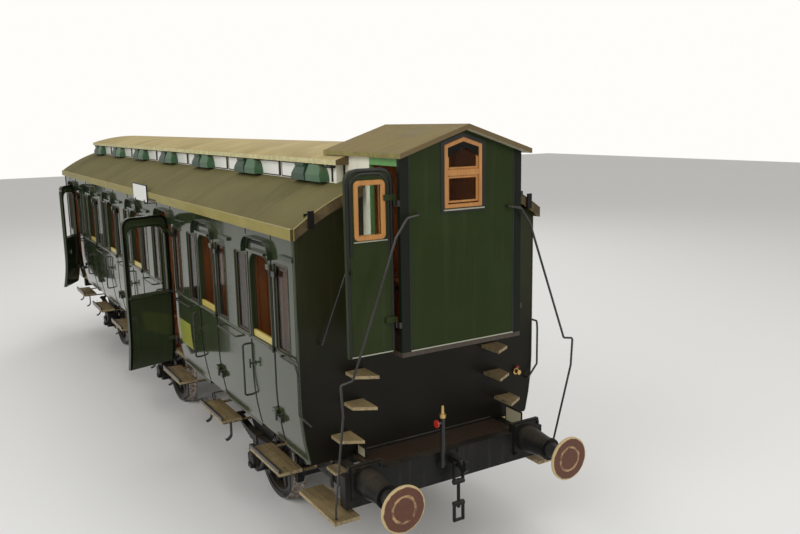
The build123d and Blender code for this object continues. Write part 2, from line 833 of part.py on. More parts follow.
# Gabled cabin roof; its far end lies over the clerestory roof
with BuildPart() as cabin_roof:
    reach = cabin_half_w + cabin_roof_side
    with BuildSketch(Plane.YZ.offset(cabin_back_x - cabin_roof_back)):
        with BuildLine():
            Polyline((-reach, cabin_eave_z), (0, cabin_ridge_z), (reach, cabin_eave_z),
                     (reach, cabin_eave_z + cabin_roof_t), (0, cabin_ridge_z + cabin_roof_t),
                     (-reach, cabin_eave_z + cabin_roof_t), close=True)
        make_face()
    extrude(amount=cabin_roof_back + cabin_len + cabin_roof_front)
    with BuildSketch(Plane.YZ.offset(cabin_back_x - cabin_roof_back - 10)):
        with BuildLine():
            half = clerestory_half_w + clerestory_overhang
            lift = seat_gap
            ThreePointArc((half, clerestory_arc_z(half) + lift), (0, clerestory_crown_z + lift),
                          (-half, clerestory_arc_z(half) + lift))
            Polyline((-half, clerestory_arc_z(half) + lift), (-half, clerestory_top_z),
                     (half, clerestory_top_z), (half, clerestory_arc_z(half) + lift))
        make_face()
    extrude(amount=cabin_roof_back + 10 + clerestory_end_overhang, mode=Mode.SUBTRACT)
save(cabin_roof.part, "cabin_roof")

cabin_hinge_x = cabin_door_x1 + door_gap / 2
cabin_hinge_y = cabin_half_w + hinge_stand


def cabin_door(side, is_open):
    """Narrow cabin door with a rounded head and window, hinged at the front post."""
    mid_x = (cabin_door_x0 + cabin_door_x1) / 2
    low, high = cabin_door_z
    with BuildPart() as leaf:
        with BuildSketch(side_sketch_plane(side, cabin_half_w)):
            with Locations((mid_x, (low + high) / 2)):
                RectangleRounded(cabin_door_w, high - low, cabin_door_corner_r)
            with Locations((mid_x, (low + high) / 2 - cabin_door_corner_r)):
                Rectangle(cabin_door_w, high - low - 2 * cabin_door_corner_r)
            width, z0, z1 = cabin_door_window
            with Locations((mid_x, (z0 + z1) / 2)):
                RectangleRounded(width, z1 - z0, cabin_door_window_r, mode=Mode.SUBTRACT)
        extrude(amount=side * cabin_door_t)
        for z in cabin_hinges:
            with BuildSketch(Plane.XY.offset(z + seat_gap)):
                with Locations((cabin_hinge_x, side * cabin_hinge_y)):
                    Circle(hinge_r)
                with Locations((cabin_hinge_x - hinge_strap / 2, side * (cabin_hinge_y - hinge_stand / 2))):
                    Rectangle(hinge_strap, hinge_stand)
            extrude(amount=hinge_len)
        handle_x = cabin_door_x0 + handle_inset / 2
        with BuildSketch(side_sketch_plane(side, cabin_half_w - 4)):
            with Locations((handle_x, cabin_handle_z)):
                Circle(handle_shaft_r)
        extrude(amount=-side * (handle_stand + 4))
        with BuildSketch(side_sketch_plane(side, cabin_half_w + handle_stand)):
            with Locations((handle_x, cabin_handle_z)):
                Rectangle(handle_t, handle_len)
        extrude(amount=-side * handle_t)
    if not is_open:
        return leaf.part
    return leaf.part.rotate(Axis((cabin_hinge_x, side * cabin_hinge_y, 0), (0, 0, 1)), -side * cabin_door_deg)


save(cabin_door(-1, True), "cabin_door_a")
save(cabin_door(1, False), "cabin_door_b")

# Fixed hinge knuckles, below the doors' own, on straps let on to the pillars
with BuildPart() as hinge_knuckles:
    for side in sides.values():
        for z in hinge_heights:
            z_low = z - hinge_len
            depth = hinge_y - side_y(z) - seat_gap
            with BuildSketch(Plane.XY.offset(z_low)):
                for x in door_xs:
                    edge_x = hinge_x(x, side)
                    with Locations((edge_x, side * hinge_y)):
                        Circle(hinge_r)
                    strap_x = edge_x - side * (hinge_strap / 2 + door_gap)
                    with Locations((strap_x, side * (hinge_y - depth / 2))):
                        Rectangle(hinge_strap, depth)
                    with Locations((edge_x - side * door_gap, side * (hinge_y + hinge_r / 4))):
                        Rectangle(2 * door_gap + 4, hinge_r / 2)
            extrude(amount=hinge_len)
        for z in cabin_hinges:
            with BuildSketch(Plane.XY.offset(z - hinge_len)):
                with Locations((cabin_hinge_x, side * cabin_hinge_y)):
                    Circle(hinge_r)
                with Locations(((cabin_front_x + cabin_hinge_x + door_gap) / 2,
                                side * (cabin_hinge_y - (hinge_stand - seat_gap) / 2))):
                    Rectangle(cabin_front_x - cabin_hinge_x - door_gap, hinge_stand - seat_gap)
                with Locations((cabin_hinge_x + door_gap, side * (cabin_hinge_y + hinge_r / 4))):
                    Rectangle(2 * door_gap + 4, hinge_r / 2)
            extrude(amount=hinge_len)
save(hinge_knuckles.part, "hinge_knuckles")

# Brakeman's seat and the brake column with its crank
with BuildPart() as brake_stand:
    column_gap, column_y, column_r, column_h = brake_column
    column_x = cabin_front_x - cabin_wall_t - column_gap
    crank_z = cabin_floor_z + column_h
    for radius, height in ((column_foot[0], column_foot[1]), (column_r, column_h)):
        with BuildSketch(Plane.XY.offset(cabin_floor_z)):
            with Locations((column_x, column_y)):
                Circle(radius)
        extrude(amount=height)
    with BuildSketch(Plane.XY.offset(crank_z)):
        with Locations((column_x - crank_arm[0] / 2 + column_r, column_y)):
            Rectangle(crank_arm[0], crank_arm[1])
    extrude(amount=crank_arm[2])
    with BuildSketch(Plane.XY.offset(crank_z + crank_arm[2])):
        with Locations((column_x - crank_arm[0] + 2 * column_r, column_y)):
            Circle(crank_grip[0])
    extrude(amount=crank_grip[1])
save(brake_stand.part, "brake_stand")

with BuildPart() as cabin_bench:
    bench_d, bench_w, bench_t, bench_drop = cabin_seat
    seat_x = cabin_back_x + cabin_wall_t + seat_gap
    with BuildSketch(Plane.XZ.offset(-bench_w / 2)):
        with BuildLine():
            top = cabin_floor_z + cabin_seat_z
            Polyline((seat_x, top), (seat_x + bench_d, top), (seat_x + bench_d, top - bench_t),
                     (seat_x + 2 * bench_t, top - bench_t), (seat_x + bench_t, top - bench_drop),
                     (seat_x, top - bench_drop), close=True)
        make_face()
    extrude(amount=bench_w)
save(cabin_bench.part, "cabin_seat")

# Underframe: two channel solebars, headstocks, cross members and the end platform
web_in = frame_web_y - frame_web_t
with BuildPart() as underframe:
    frame_len = near_headstock_x - far_headstock_x - 2 * headstock_t
    frame_mid = (near_headstock_x + far_headstock_x) / 2
    for side in sides.values():
        with BuildSketch(section_plane(frame_mid, side)):
            with Locations((frame_web_y - frame_web_t / 2, frame_top_z - frame_h / 2)):
                Rectangle(frame_web_t, frame_h)
            for z in (frame_top_z - frame_flange_t / 2, frame_bottom_z + frame_flange_t / 2):
                with Locations((frame_web_y - frame_flange_w / 2, z)):
                    Rectangle(frame_flange_w, frame_flange_t)
        extrude(amount=frame_len / 2, both=True)
    cross_xs = [s * axle_pitch + d for s in (-1, 0, 1) for d in (-cross_shift, cross_shift)]
    with BuildSketch(Plane.XY.offset(frame_bottom_z + cross_lift)):
        for x in cross_xs:
            with Locations((x, 0)):
                Rectangle(cross_w, 2 * web_in)
    extrude(amount=frame_h - cross_lift)
save(underframe.part, "underframe")

ends = ((near_headstock_x, 1), (far_headstock_x, -1))
with BuildPart() as headstocks:
    with BuildSketch(Plane.XY.offset(frame_top_z + platform_t - headstock_h)):
        for x_out, s in ends:
            with Locations((x_out - s * headstock_t / 2, 0)):
                Rectangle(headstock_t, 2 * headstock_half_w)
    extrude(amount=headstock_h)
    with BuildSketch(Plane.XY.offset(frame_top_z + platform_t - headstock_h)):
        for x_out, s in ends:
            for y in (-buffer_y, buffer_y):
                with Locations((x_out - s * pad_t / 2, y)):
                    Rectangle(pad_t, buffer_base + pad_margin[0])
    pad_top_z = buffer_z + buffer_base / 2 + pad_margin[1]
    extrude(amount=pad_top_z - (frame_top_z + platform_t - headstock_h))
save(headstocks.part, "headstocks")

with BuildPart() as platform:
    deck_x0 = body_half
    deck_x1 = near_headstock_x - headstock_t
    with BuildSketch(Plane.XY.offset(frame_top_z)):
        with Locations(((deck_x0 + deck_x1) / 2, 0)):
            Rectangle(deck_x1 - deck_x0, 2 * platform_half_w)
    extrude(amount=platform_t)
save(platform.part, "platform")


def axis_plane(x, y, z, s):
    """Plane across the track at a buffer's or hook's seat, facing out of that end."""
    return Plane(origin=(x, y, z), x_dir=(0, 1, 0), z_dir=(s, 0, 0))


# Buffers: base plate, tapered casing, plunger and round head
with BuildPart() as buffer_casings:
    for x, s in ends:
        for y in (-buffer_y, buffer_y):
            with BuildSketch(axis_plane(x, y, buffer_z, s)):
                Rectangle(buffer_base, buffer_base)
            extrude(amount=buffer_base_t)
            with BuildSketch(Plane(origin=(x, y, buffer_z), x_dir=(s, 0, 0), z_dir=(0, -s, 0))):
                with BuildLine():
                    root, wide, narrow = buffer_base_t - 2, casing_r[0], casing_r[1]
                    lip = casing_len - casing_lip[0]
                    Polyline((root, 0), (root, wide), (casing_foot, wide), (lip, narrow),
                             (lip, narrow + casing_lip[1]), (casing_len, narrow + casing_lip[1]),
                             (casing_len, 0), close=True)
                make_face()
            revolve(axis=Axis((x, y, buffer_z), (1, 0, 0)))
save(buffer_casings.part, "buffer_casings")

with BuildPart() as buffer_heads:
    for x, s in ends:
        for y in (-buffer_y, buffer_y):
            with BuildSketch(Plane(origin=(x, y, buffer_z), x_dir=(s, 0, 0), z_dir=(0, -s, 0))):
                with BuildLine():
                    flare, back, rim, face = [buffer_len - d for d in head_steps]
                    Polyline((casing_len, 0), (casing_len, plunger_r), (flare, plunger_r),
                             (back, buffer_head_r - head_bevel), (rim, buffer_head_r), (face, buffer_head_r),
                             (buffer_len, buffer_head_r - head_bevel), (buffer_len, 0), close=True)
                make_face()
            revolve(axis=Axis((x, y, buffer_z), (1, 0, 0)))
save(buffer_heads.part, "buffer_heads")

# Draw hooks: shank through the headstock and an upturned hook
with BuildPart() as drawhooks:
    for x, s in ends:
        with BuildSketch(Plane(origin=(x, -hook_t / 2, buffer_z), x_dir=(s, 0, 0), z_dir=(0, -s, 0))):
            with BuildLine():
                Polyline(*hook_outline, close=True)
            make_face()
            with Locations((coupling_pin_x, 0)):
                Circle(coupling_pin_r, mode=Mode.SUBTRACT)
        extrude(amount=-s * hook_t)
        with BuildSketch(axis_plane(x, 0, buffer_z, s)):
            Rectangle(hook_plate[0], hook_plate[1])
            Rectangle(hook_t + 1, 2 * hook_outline[-1][1] + 2, mode=Mode.SUBTRACT)
        extrude(amount=hook_plate[2])
save(drawhooks.part, "drawhooks")

# Wheelsets: axle with journals, and two spoked wheels on their seats
axle_xs = (axle_pitch, 0.0, -axle_pitch)
axle_half = journal_y + 70


def axle_profile():
    """Half outline of the axle, stepped from the journal to the wheel seat and shaft."""
    seat_end = tread_y + hub_w / 2
    seat_start = wheel_back_y - 20
    half = [(seat_start - axle_taper, axle_mid_r), (seat_start, axle_seat_r), (seat_end, axle_seat_r),
            (seat_end + hub_bevel / 4, journal_r), (axle_half, journal_r), (axle_half, 0)]
    return [(-y, r) for y, r in reversed(half)] + half


def tyre_profile(side):
    """Tyre and rim outline: flange at the back, coned tread, and the rim inside it."""
    back = wheel_back_y
    face = back + tyre_w
    inner = wheel_r - tyre_t - rim_t
    crest = wheel_r + flange_h
    bevel, tip, root = flange_steps
    points = [(back, inner), (back, crest - bevel), (back + bevel, crest), (back + tip, crest),
              (back + root, wheel_r + tread_cone), (face - 1.5 * tread_cone, wheel_r - tread_cone),
              (face, wheel_r - 2.5 * tread_cone), (face, wheel_r - tyre_t),
              (face - rim_inset, wheel_r - tyre_t), (face - rim_inset, inner)]
    return [(side * y, r) for y, r in points]


def hub_profile(side):
    """Wheel hub outline between its bore and its stepped rim."""
    back = tread_y - hub_w / 2
    face = tread_y + hub_w / 2
    points = [(back, axle_seat_r), (back, hub_r - hub_bevel), (back + 1.2 * hub_bevel, hub_r),
              (face - 1.8 * hub_bevel, hub_r), (face - 1.2 * hub_bevel, hub_r - 0.8 * hub_bevel),
              (face, hub_r - hub_bevel), (face, axle_seat_r)]
    return [(side * y, r) for y, r in points]


for number, x in enumerate(axle_xs, 1):
    axle_axis = Axis((x, 0, wheel_r), (0, 1, 0))
    axle_plane = Plane(origin=(x, 0, wheel_r), x_dir=(0, 1, 0), z_dir=(1, 0, 0))
    with BuildPart() as axle:
        with BuildSketch(axle_plane):
            with BuildLine():
                Polyline(*axle_profile(), close=True)
            make_face()
        revolve(axis=axle_axis)
    save(axle.part, f"axle_{number}")
    with BuildPart() as wheels:
        with BuildSketch(axle_plane):
            for side in sides.values():
                with BuildLine():
                    Polyline(*tyre_profile(side), close=True)
                make_face()
                with BuildLine():
                    Polyline(*hub_profile(side), close=True)
                make_face()
        revolve(axis=axle_axis)
        spoke_root = hub_r - 8
        spoke_len = wheel_r - tyre_t - 0.8 * rim_t - spoke_root
        for side in sides.values():
            spoke_y = side * (wheel_back_y + tyre_w / 2)
            with BuildSketch(Plane(origin=(x, spoke_y, wheel_r), x_dir=(1, 0, 0), z_dir=(0, -1, 0))):
                for i in range(spokes):
                    turn = Location((0, 0, 0), (0, 0, i * 360 / spokes))
                    with BuildLine(turn):
                        Polyline((spoke_root, -0.65 * spoke_w), (spoke_root + spoke_len, -0.42 * spoke_w),
                                 (spoke_root + spoke_len, 0.42 * spoke_w), (spoke_root, 0.65 * spoke_w),
                                 close=True)
                    make_face()
            extrude(amount=spoke_t / 2, both=True)
    save(wheels.part, f"wheels_{number}")

# Axle guards: plates with two legs, a top and a tie bar, in front of the solebar web
guard_slot = box_w + 8
guard_top_z = frame_top_z - 30
with BuildPart() as axle_guards:
    for side in sides.values():
        with BuildSketch(side_sketch_plane(side, frame_web_y)):
            for x in axle_xs:
                half = guard_slot / 2 - 14
                foot = half + guard_leg * 0.62
                with BuildLine():
                    shoulder_z = frame_bottom_z - frame_flange_t / 2
                    leg = half + guard_leg
                    Polyline((x - guard_half, guard_top_z), (x - guard_half, shoulder_z),
                             (x - leg, guard_knee_z), (x - foot, guard_foot_z), (x + foot, guard_foot_z),
                             (x + leg, guard_knee_z), (x + guard_half, shoulder_z),
                             (x + guard_half, guard_top_z), close=True)
                make_face()
                with Locations((x, sum(guard_slot_z) / 2)):
                    Rectangle(2 * half, guard_slot_z[1] - guard_slot_z[0], mode=Mode.SUBTRACT)
        extrude(amount=-side * guard_t)
save(axle_guards.part, "axle_guards")

# Axleboxes: grooved to slide on the guards, open at the back for the journal
with BuildPart() as axleboxes:
    for side in sides.values():
        box_in = journal_y - box_d / 2
        for x in axle_xs:
            with BuildSketch(side_sketch_plane(side, box_in)):
                with Locations((x, wheel_r + 5)):
                    RectangleRounded(box_w, box_h, 30)
            extrude(amount=-side * box_d)
            groove_mid = frame_web_y + guard_t / 2
            with BuildSketch(Plane.XY.offset(wheel_r - box_h)):
                for s in (-1, 1):
                    with Locations((x + s * (box_w / 2 - 5), side * groove_mid)):
                        Rectangle(28, guard_t + 6)
            extrude(amount=2 * box_h, mode=Mode.SUBTRACT)
            with BuildSketch(side_sketch_plane(side, box_in)):
                with Locations((x, wheel_r)):
                    Circle(journal_r + journal_clear)
            extrude(amount=-side * (axle_half - box_in + 6), mode=Mode.SUBTRACT)
            with BuildSketch(side_sketch_plane(side, box_in + box_d - 1)):
                with Locations((x, wheel_r)):
                    Circle(cover_r)
            extrude(amount=-side * cover_d)
            with BuildSketch(side_sketch_plane(side, box_in + box_d - 1)):
                with Locations((x, wheel_r - 0.85 * cover_r)):
                    Rectangle(1.1 * cover_r, 0.5 * cover_r)
            extrude(amount=-side * (cover_d + 16))
save(axleboxes.part, "axleboxes")

# Leaf springs: curved leaves, the longest on top, held in a buckle that sits on a saddle
# over the axlebox and hung by their eyes from brackets on the solebar
spring_low = wheel_r + 5 + box_h / 2 + saddle_h + buckle_t
spring_y = frame_web_y + guard_t + seat_gap + spring_w / 2 + buckle_t
spring_stack = spring_leaf_t * spring_leaves
spring_bend_r = (spring_half ** 2 + spring_camber ** 2) / (2 * spring_camber)
spring_eye_z = spring_low + spring_stack + spring_camber - spring_leaf_t / 2


def leaf_outline(x, number):
    """Outline of one leaf, concentric with the longest one, for a BuildLine."""
    reach = spring_half * (1 - leaf_step * number)
    centre_z = spring_low + spring_stack + spring_bend_r
    rings = (spring_bend_r + number * spring_leaf_t, spring_bend_r + (number + 1) * spring_leaf_t)
    upper, lower = [[(x + dx, centre_z - math.sqrt(r ** 2 - dx ** 2)) for dx in (-reach, 0, reach)]
                    for r in rings]
    ThreePointArc(*upper)
    Line(upper[2], lower[2])
    ThreePointArc(*lower)
    Line(lower[0], upper[0])


with BuildPart() as springs:
    for side in sides.values():
        with BuildSketch(side_sketch_plane(side, spring_y - spring_w / 2)):
            for x in axle_xs:
                for number in range(spring_leaves):
                    with BuildLine():
                        leaf_outline(x, number)
                    make_face()
                for s in (-1, 1):
                    with Locations((x + s * spring_half, spring_eye_z)):
                        Circle(eye_r)
        extrude(amount=-side * spring_w)
        with BuildSketch(side_sketch_plane(side, spring_y - spring_w / 2 - buckle_t)):
            for x in axle_xs:
                with Locations((x, spring_low + spring_stack / 2)):
                    Rectangle(buckle_w, spring_stack + 2 * buckle_t)
                with Locations((x, wheel_r + 5 + box_h / 2 + (saddle_h + seat_gap) / 2)):
                    Rectangle(buckle_w * 0.8, saddle_h - seat_gap)
        extrude(amount=-side * (spring_w + 2 * buckle_t))
        with BuildSketch(side_sketch_plane(side, frame_web_y + seat_gap)):
            for x in axle_xs:
                for s in (-1, 1):
                    bx = x + s * spring_half
                    with BuildLine():
                        high = frame_top_z - hanger_margin
                        low = frame_bottom_z + hanger_margin
                        wide, narrow = hanger_half_ws
                        Polyline((bx - wide, high), (bx + wide, high), (bx + wide, low),
                                 (bx + narrow, spring_eye_z), (bx - narrow, spring_eye_z),
                                 (bx - wide, low), close=True)
                    make_face()
        extrude(amount=-side * hanger_t)
        with BuildSketch(side_sketch_plane(side, frame_web_y + seat_gap)):
            for x in axle_xs:
                for s in (-1, 1):
                    with Locations((x + s * spring_half, spring_eye_z)):
                        Circle(eye_r * 0.6)
        extrude(amount=-side * (spring_y + spring_w / 2 + buckle_t - frame_web_y))
save(springs.part, "springs")

# Footboards under the doors, each on two bent brackets from the solebar
board_y = (footboard_y[0] + footboard_y[1]) / 2
board_w = footboard_y[1] - footboard_y[0]
bracket_top_z = frame_top_z - 20


def bracket_root(x):
    """Inner face of a step bracket: on the solebar, or on an axle guard in front of it."""
    on_guard = any(abs(x - axle_x) < guard_half + bracket_w / 2 for axle_x in axle_xs)
    return frame_web_y + seat_gap + (guard_t if on_guard else 0)


with BuildPart() as footboards:
    for side in sides.values():
        with BuildSketch(Plane.XY.offset(footboard_z - footboard_t)):
            for x in door_xs:
                with Locations((x, side * board_y)):
                    Rectangle(footboard_len, board_w)
        extrude(amount=footboard_t)
        low = footboard_z - footboard_t
        for x in door_xs:
            for s in (-1, 1):
                bracket_x = x + s * (footboard_len / 2 - bracket_inset)
                bracket_root_y = bracket_root(bracket_x)
                with BuildSketch(section_plane(bracket_x, side)):
                    with BuildLine():
                        bend_y = bracket_root_y + bracket_t
                        end_y = footboard_y[1] - bracket_short
                        Polyline((bracket_root_y, bracket_top_z), (bend_y, bracket_top_z), (bend_y, low),
                                 (end_y, low), (end_y, low - bracket_t), (bracket_root_y, low - bracket_t),
                                 close=True)
                    make_face()
                extrude(amount=bracket_w / 2, both=True)
                with BuildSketch(section_plane(bracket_x, side)):
                    with BuildLine():
                        strap_low = low - strap_drop
                        strap_r = strap_drop / 2
                        start_z = low - bracket_t / 2
                        hook_y = board_y + strap_r
                        hook_z = strap_low - strap_r
                        inner_y = board_y + bracket_t
                        Line((board_y, start_z), (board_y, strap_low))
                        RadiusArc((board_y, strap_low), (hook_y, hook_z), -strap_r)
                        Line((hook_y, hook_z), (hook_y, hook_z + bracket_t))
                        RadiusArc((hook_y, hook_z + bracket_t), (inner_y, strap_low), strap_r - bracket_t)
                        Polyline((inner_y, strap_low), (inner_y, start_z), (board_y, start_z))
                    make_face()
                extrude(amount=bracket_w / 2, both=True)
save(footboards.part, "footboards")

# Steps up to the cabin: tapered treads on the end wall and a corner board below
with BuildPart() as end_steps:
    for side in sides.values():
        for i in range(step_count):
            low = cabin_floor_z - (i + 1) * step_rise - tread_t
            y_in, y_out = tread_ys[i] - tread_w / 2, tread_ys[i] + tread_w / 2
            if low < frame_top_z:
                y_in = max(y_in, frame_web_y + seat_gap)
            with BuildSketch(Plane.XY.offset(low)):
                with BuildLine():
                    Polyline((body_half, side * y_in), (body_half + tread_len, side * y_in),
                             (body_half + tread_len * 0.6, side * y_out), (body_half, side * y_out),
                             close=True)
                make_face()
            extrude(amount=tread_t)

corner_x = (body_half - corner_step_back, body_half + corner_step_front)
with BuildPart() as corner_steps:
    low = corner_step_z - footboard_t
    for side in sides.values():
        with BuildSketch(Plane.XY.offset(low)):
            with Locations((sum(corner_x) / 2, side * sum(corner_y) / 2)):
                Rectangle(corner_x[1] - corner_x[0], corner_y[1] - corner_y[0])
        extrude(amount=footboard_t)
        for inset in corner_brackets:
            with BuildSketch(section_plane(corner_x[0] + inset, side)):
                with BuildLine():
                    root_y = frame_web_y + seat_gap
                    bend_y = frame_web_y + bracket_t
                    end_y = corner_y[1] - bracket_short
                    Polyline((root_y, bracket_top_z), (bend_y, bracket_top_z), (bend_y, low), (end_y, low),
                             (end_y, low - bracket_t), (root_y, low - bracket_t), close=True)
                make_face()
            extrude(amount=bracket_w / 2, both=True)

with BuildPart() as steps:
    add([end_steps.part, corner_steps.part])
save(steps.part, "end_steps")


def rod(points, radius, bend):
    """Round bar along straight runs joined by arcs."""
    with BuildPart() as bar:
        with BuildLine() as path:
            FilletPolyline(*points, radius=bend)
        with BuildSketch(Plane(origin=path.line @ 0, z_dir=path.line % 0)):
            Circle(radius)
        sweep()
    return bar.part


# Handrails at the end: slanted stair rails, wall rails and corner rails
front_x = cabin_front_x
wall_x = body_half
stair_x = front_x + stair_rail_stand
foot_x = corner_x[1] - stair_rail_stand
end_rails = []
for side in sides.values():
    stair_points = [(stair_x, side * y, z) for y, z in stair_rail[:-1]]
    first_y, first_z = stair_rail[0]
    last_y, last_z = stair_rail[-1]
    end_rails.append(rod([(front_x + seat_gap, side * first_y, first_z)] + stair_points
                         + [(foot_x, side * last_y, last_z),
                            (foot_x, side * last_y, corner_step_z + seat_gap)], rail_r, rail_bend))
    first_y, first_z = wall_rail[0]
    last_y, last_z = wall_rail[-1]
    wall_points = [(wall_x + wall_rail_stand, side * y, z) for y, z in wall_rail]
    end_rails.append(rod([(wall_x + seat_gap, side * first_y, first_z)] + wall_points
                         + [(wall_x + seat_gap, side * last_y, last_z)], rail_r, rail_bend))
    side_z, bend_z, end_z, foot_z = corner_rail_z
    rail_y = half_width + stair_rail_stand
    rail_x = wall_x + wall_rail_stand
    end_rails.append(rod([(wall_x - corner_rail_len, side * (half_width + seat_gap), side_z),
                          (wall_x - corner_rail_len, side * rail_y, side_z),
                          (rail_x - 2 * rail_r, side * rail_y, side_z),
                          (rail_x, side * (rail_y - rail_r), bend_z),
                          (rail_x, side * (rail_y - rail_r), end_z),
                          (rail_x, side * corner_rail_foot_y, foot_z),
                          (wall_x + seat_gap, side * corner_rail_foot_y, foot_z)], rail_r, rail_bend - 2))
# Grab rails beside every door: an upright one at the handle side
side_rails = []
wall_y = half_width + seat_gap
out_y = half_width + rail_stand
for side in sides.values():
    low, high = upright_rail_z
    for x in door_xs:
        rail_x = x + side * (door_w / 2 + upright_rail_gap)
        side_rails.append(rod([(rail_x, side * (side_y(low) + 6 * seat_gap), low), (rail_x, side * out_y, low),
                               (rail_x, side * out_y, high), (rail_x, side * wall_y, high)], rail_r, rail_bend))
# and a level one on the hinge side, where the body goes on
for side in sides.values():
    for x in door_xs:
        level_x0 = x - side * (door_w / 2 + level_rail_from)
        level_x1 = level_x0 - side * level_rail_len
        if abs(level_x1) > body_half:
            continue
        side_rails.append(rod([(level_x0, side * wall_y, level_rail_z), (level_x0, side * out_y, level_rail_z),
                               (level_x1, side * out_y, level_rail_z), (level_x1, side * wall_y, level_rail_z)],
                              rail_r, rail_bend))
with BuildPart() as handrails:
    add(end_rails + side_rails)
save(handrails.part, "handrails")

# Brake gear on the outer wheelsets: blocks on hangers, cross beams, lugs and pull rods
block_y = tread_y + 8
cross_len = 2 * (frame_web_y - frame_flange_w - frame_web_t - 20)
block_in = wheel_r + block_gap
block_out = block_in + block_t
hanger_x = block_out + brake_hanger_t / 2
beam_x = hanger_x + brake_hanger_t / 2 + brake_beam[0] / 2


def block_outline(x, s):
    """Outline of a brake block curved round the tread, for a BuildLine."""
    rises = (-block_half_h, 0, block_half_h)
    low = [(x + s * math.sqrt(block_in ** 2 - dz ** 2), wheel_r + dz) for dz in rises]
    high = [(x + s * math.sqrt(block_out ** 2 - dz ** 2), wheel_r + dz) for dz in rises]
    ThreePointArc(*low)
    Line(low[2], high[2])
    ThreePointArc(*high)
    Line(high[0], low[0])


with BuildPart() as brake_gear:
    for x in (axle_xs[0], axle_xs[-1]):
        for s in (-1, 1):
            for side in sides.values():
                with BuildSketch(side_sketch_plane(side, block_y - block_w / 2)):
                    with BuildLine():
                        block_outline(x, s)
                    make_face()
                extrude(amount=-side * block_w)
                with BuildSketch(side_sketch_plane(side, block_y - brake_hanger_w / 2)):
                    with Locations((x + s * hanger_x, (wheel_r - hanger_tail + frame_top_z) / 2)):
                        Rectangle(brake_hanger_t, frame_top_z - wheel_r + hanger_tail)
                    with Locations((x + s * hanger_x, frame_top_z - brake_hanger_t / 2)):
                        Rectangle(brake_hanger_w * 2, brake_hanger_t)
                extrude(amount=-side * brake_hanger_w)
            with BuildSketch(side_sketch_plane(1, block_y)):
                with Locations((x + s * beam_x, wheel_r)):
                    Rectangle(*brake_beam)
            extrude(amount=2 * block_y)
            with BuildSketch(side_sketch_plane(1, brake_hanger_w / 2)):
                with Locations((x + s * beam_x, (wheel_r + brake_rod_z) / 2)):
                    Rectangle(brake_hanger_w, wheel_r - brake_rod_z + 2 * brake_hanger_t)
            extrude(amount=brake_hanger_w)
        with BuildSketch(Plane.YZ.offset(x - beam_x)):
            with Locations((0, brake_rod_z)):
                Circle(brake_rod_r)
        extrude(amount=2 * beam_x)
    with BuildSketch(Plane.YZ.offset(axle_xs[-1] + beam_x)):
        with Locations((0, brake_rod_z)):
            Circle(brake_rod_r)
    extrude(amount=axle_xs[0] - axle_xs[-1] - 2 * beam_x)
    with BuildSketch(side_sketch_plane(1, cross_len / 2)):
        with Locations((brake_shaft_x, brake_shaft_z)):
            Circle(brake_shaft_r)
    extrude(amount=cross_len)
    for side in sides.values():
        with BuildSketch(side_sketch_plane(side, cross_len / 2 - brake_hanger_w)):
            with Locations((brake_shaft_x, (brake_shaft_z + frame_top_z) / 2)):
                Rectangle(brake_hanger_w * 2, frame_top_z - brake_shaft_z)
            with Locations((brake_shaft_x, brake_shaft_z)):
                Circle(brake_hanger_w)
        extrude(amount=-side * brake_hanger_t)
    with BuildSketch(side_sketch_plane(1, brake_hanger_t)):
        with BuildLine():
            high = brake_shaft_z + brake_shaft_r + 2
            low = brake_rod_z - 2 * brake_rod_r
            wide, narrow = lever_half_ws
            Polyline((brake_shaft_x - wide, high), (brake_shaft_x + wide, high),
                     (brake_shaft_x + narrow, low), (brake_shaft_x - narrow, low), close=True)
        make_face()
    extrude(amount=2 * brake_hanger_t)
save(brake_gear.part, "brake_gear")

# Brake cylinder and air reservoir, each hung from the floor framing by straps
strap_w = 60.0
with BuildPart() as tanks:
    for x, y, radius, length in ((cylinder_x, cylinder_y, cylinder_r, cylinder_len),
                                 (reservoir_x, -cylinder_y, reservoir_r, reservoir_len)):
        with BuildSketch(Plane(origin=(x, y, tank_z), x_dir=(1, 0, 0), z_dir=(0, -1, 0))):
            with BuildLine():
                Line((-length / 2, 0), (-length / 2, radius / 2))
                ThreePointArc((-length / 2, radius / 2), (-length / 2 + radius * 0.12, radius * 0.88),
                              (-length / 2 + radius / 2, radius))
                Line((-length / 2 + radius / 2, radius), (length / 2 - radius / 2, radius))
                ThreePointArc((length / 2 - radius / 2, radius), (length / 2 - radius * 0.12, radius * 0.88),
                              (length / 2, radius / 2))
                Polyline((length / 2, radius / 2), (length / 2, 0), (-length / 2, 0))
            make_face()
        revolve(axis=Axis((x, y, tank_z), (1, 0, 0)))
        for s in (-1, 1):
            with BuildSketch(Plane.YZ.offset(x + s * length * 0.3 - strap_w / 2)):
                with Locations((y, tank_z)):
                    Circle(radius + bracket_t)
                with Locations((y, (tank_z + frame_top_z) / 2)):
                    Rectangle(2 * (radius + bracket_t), frame_top_z - tank_z)
                    Rectangle(2 * radius, frame_top_z - tank_z, mode=Mode.SUBTRACT)
            extrude(amount=strap_w)
save(tanks.part, "tanks")

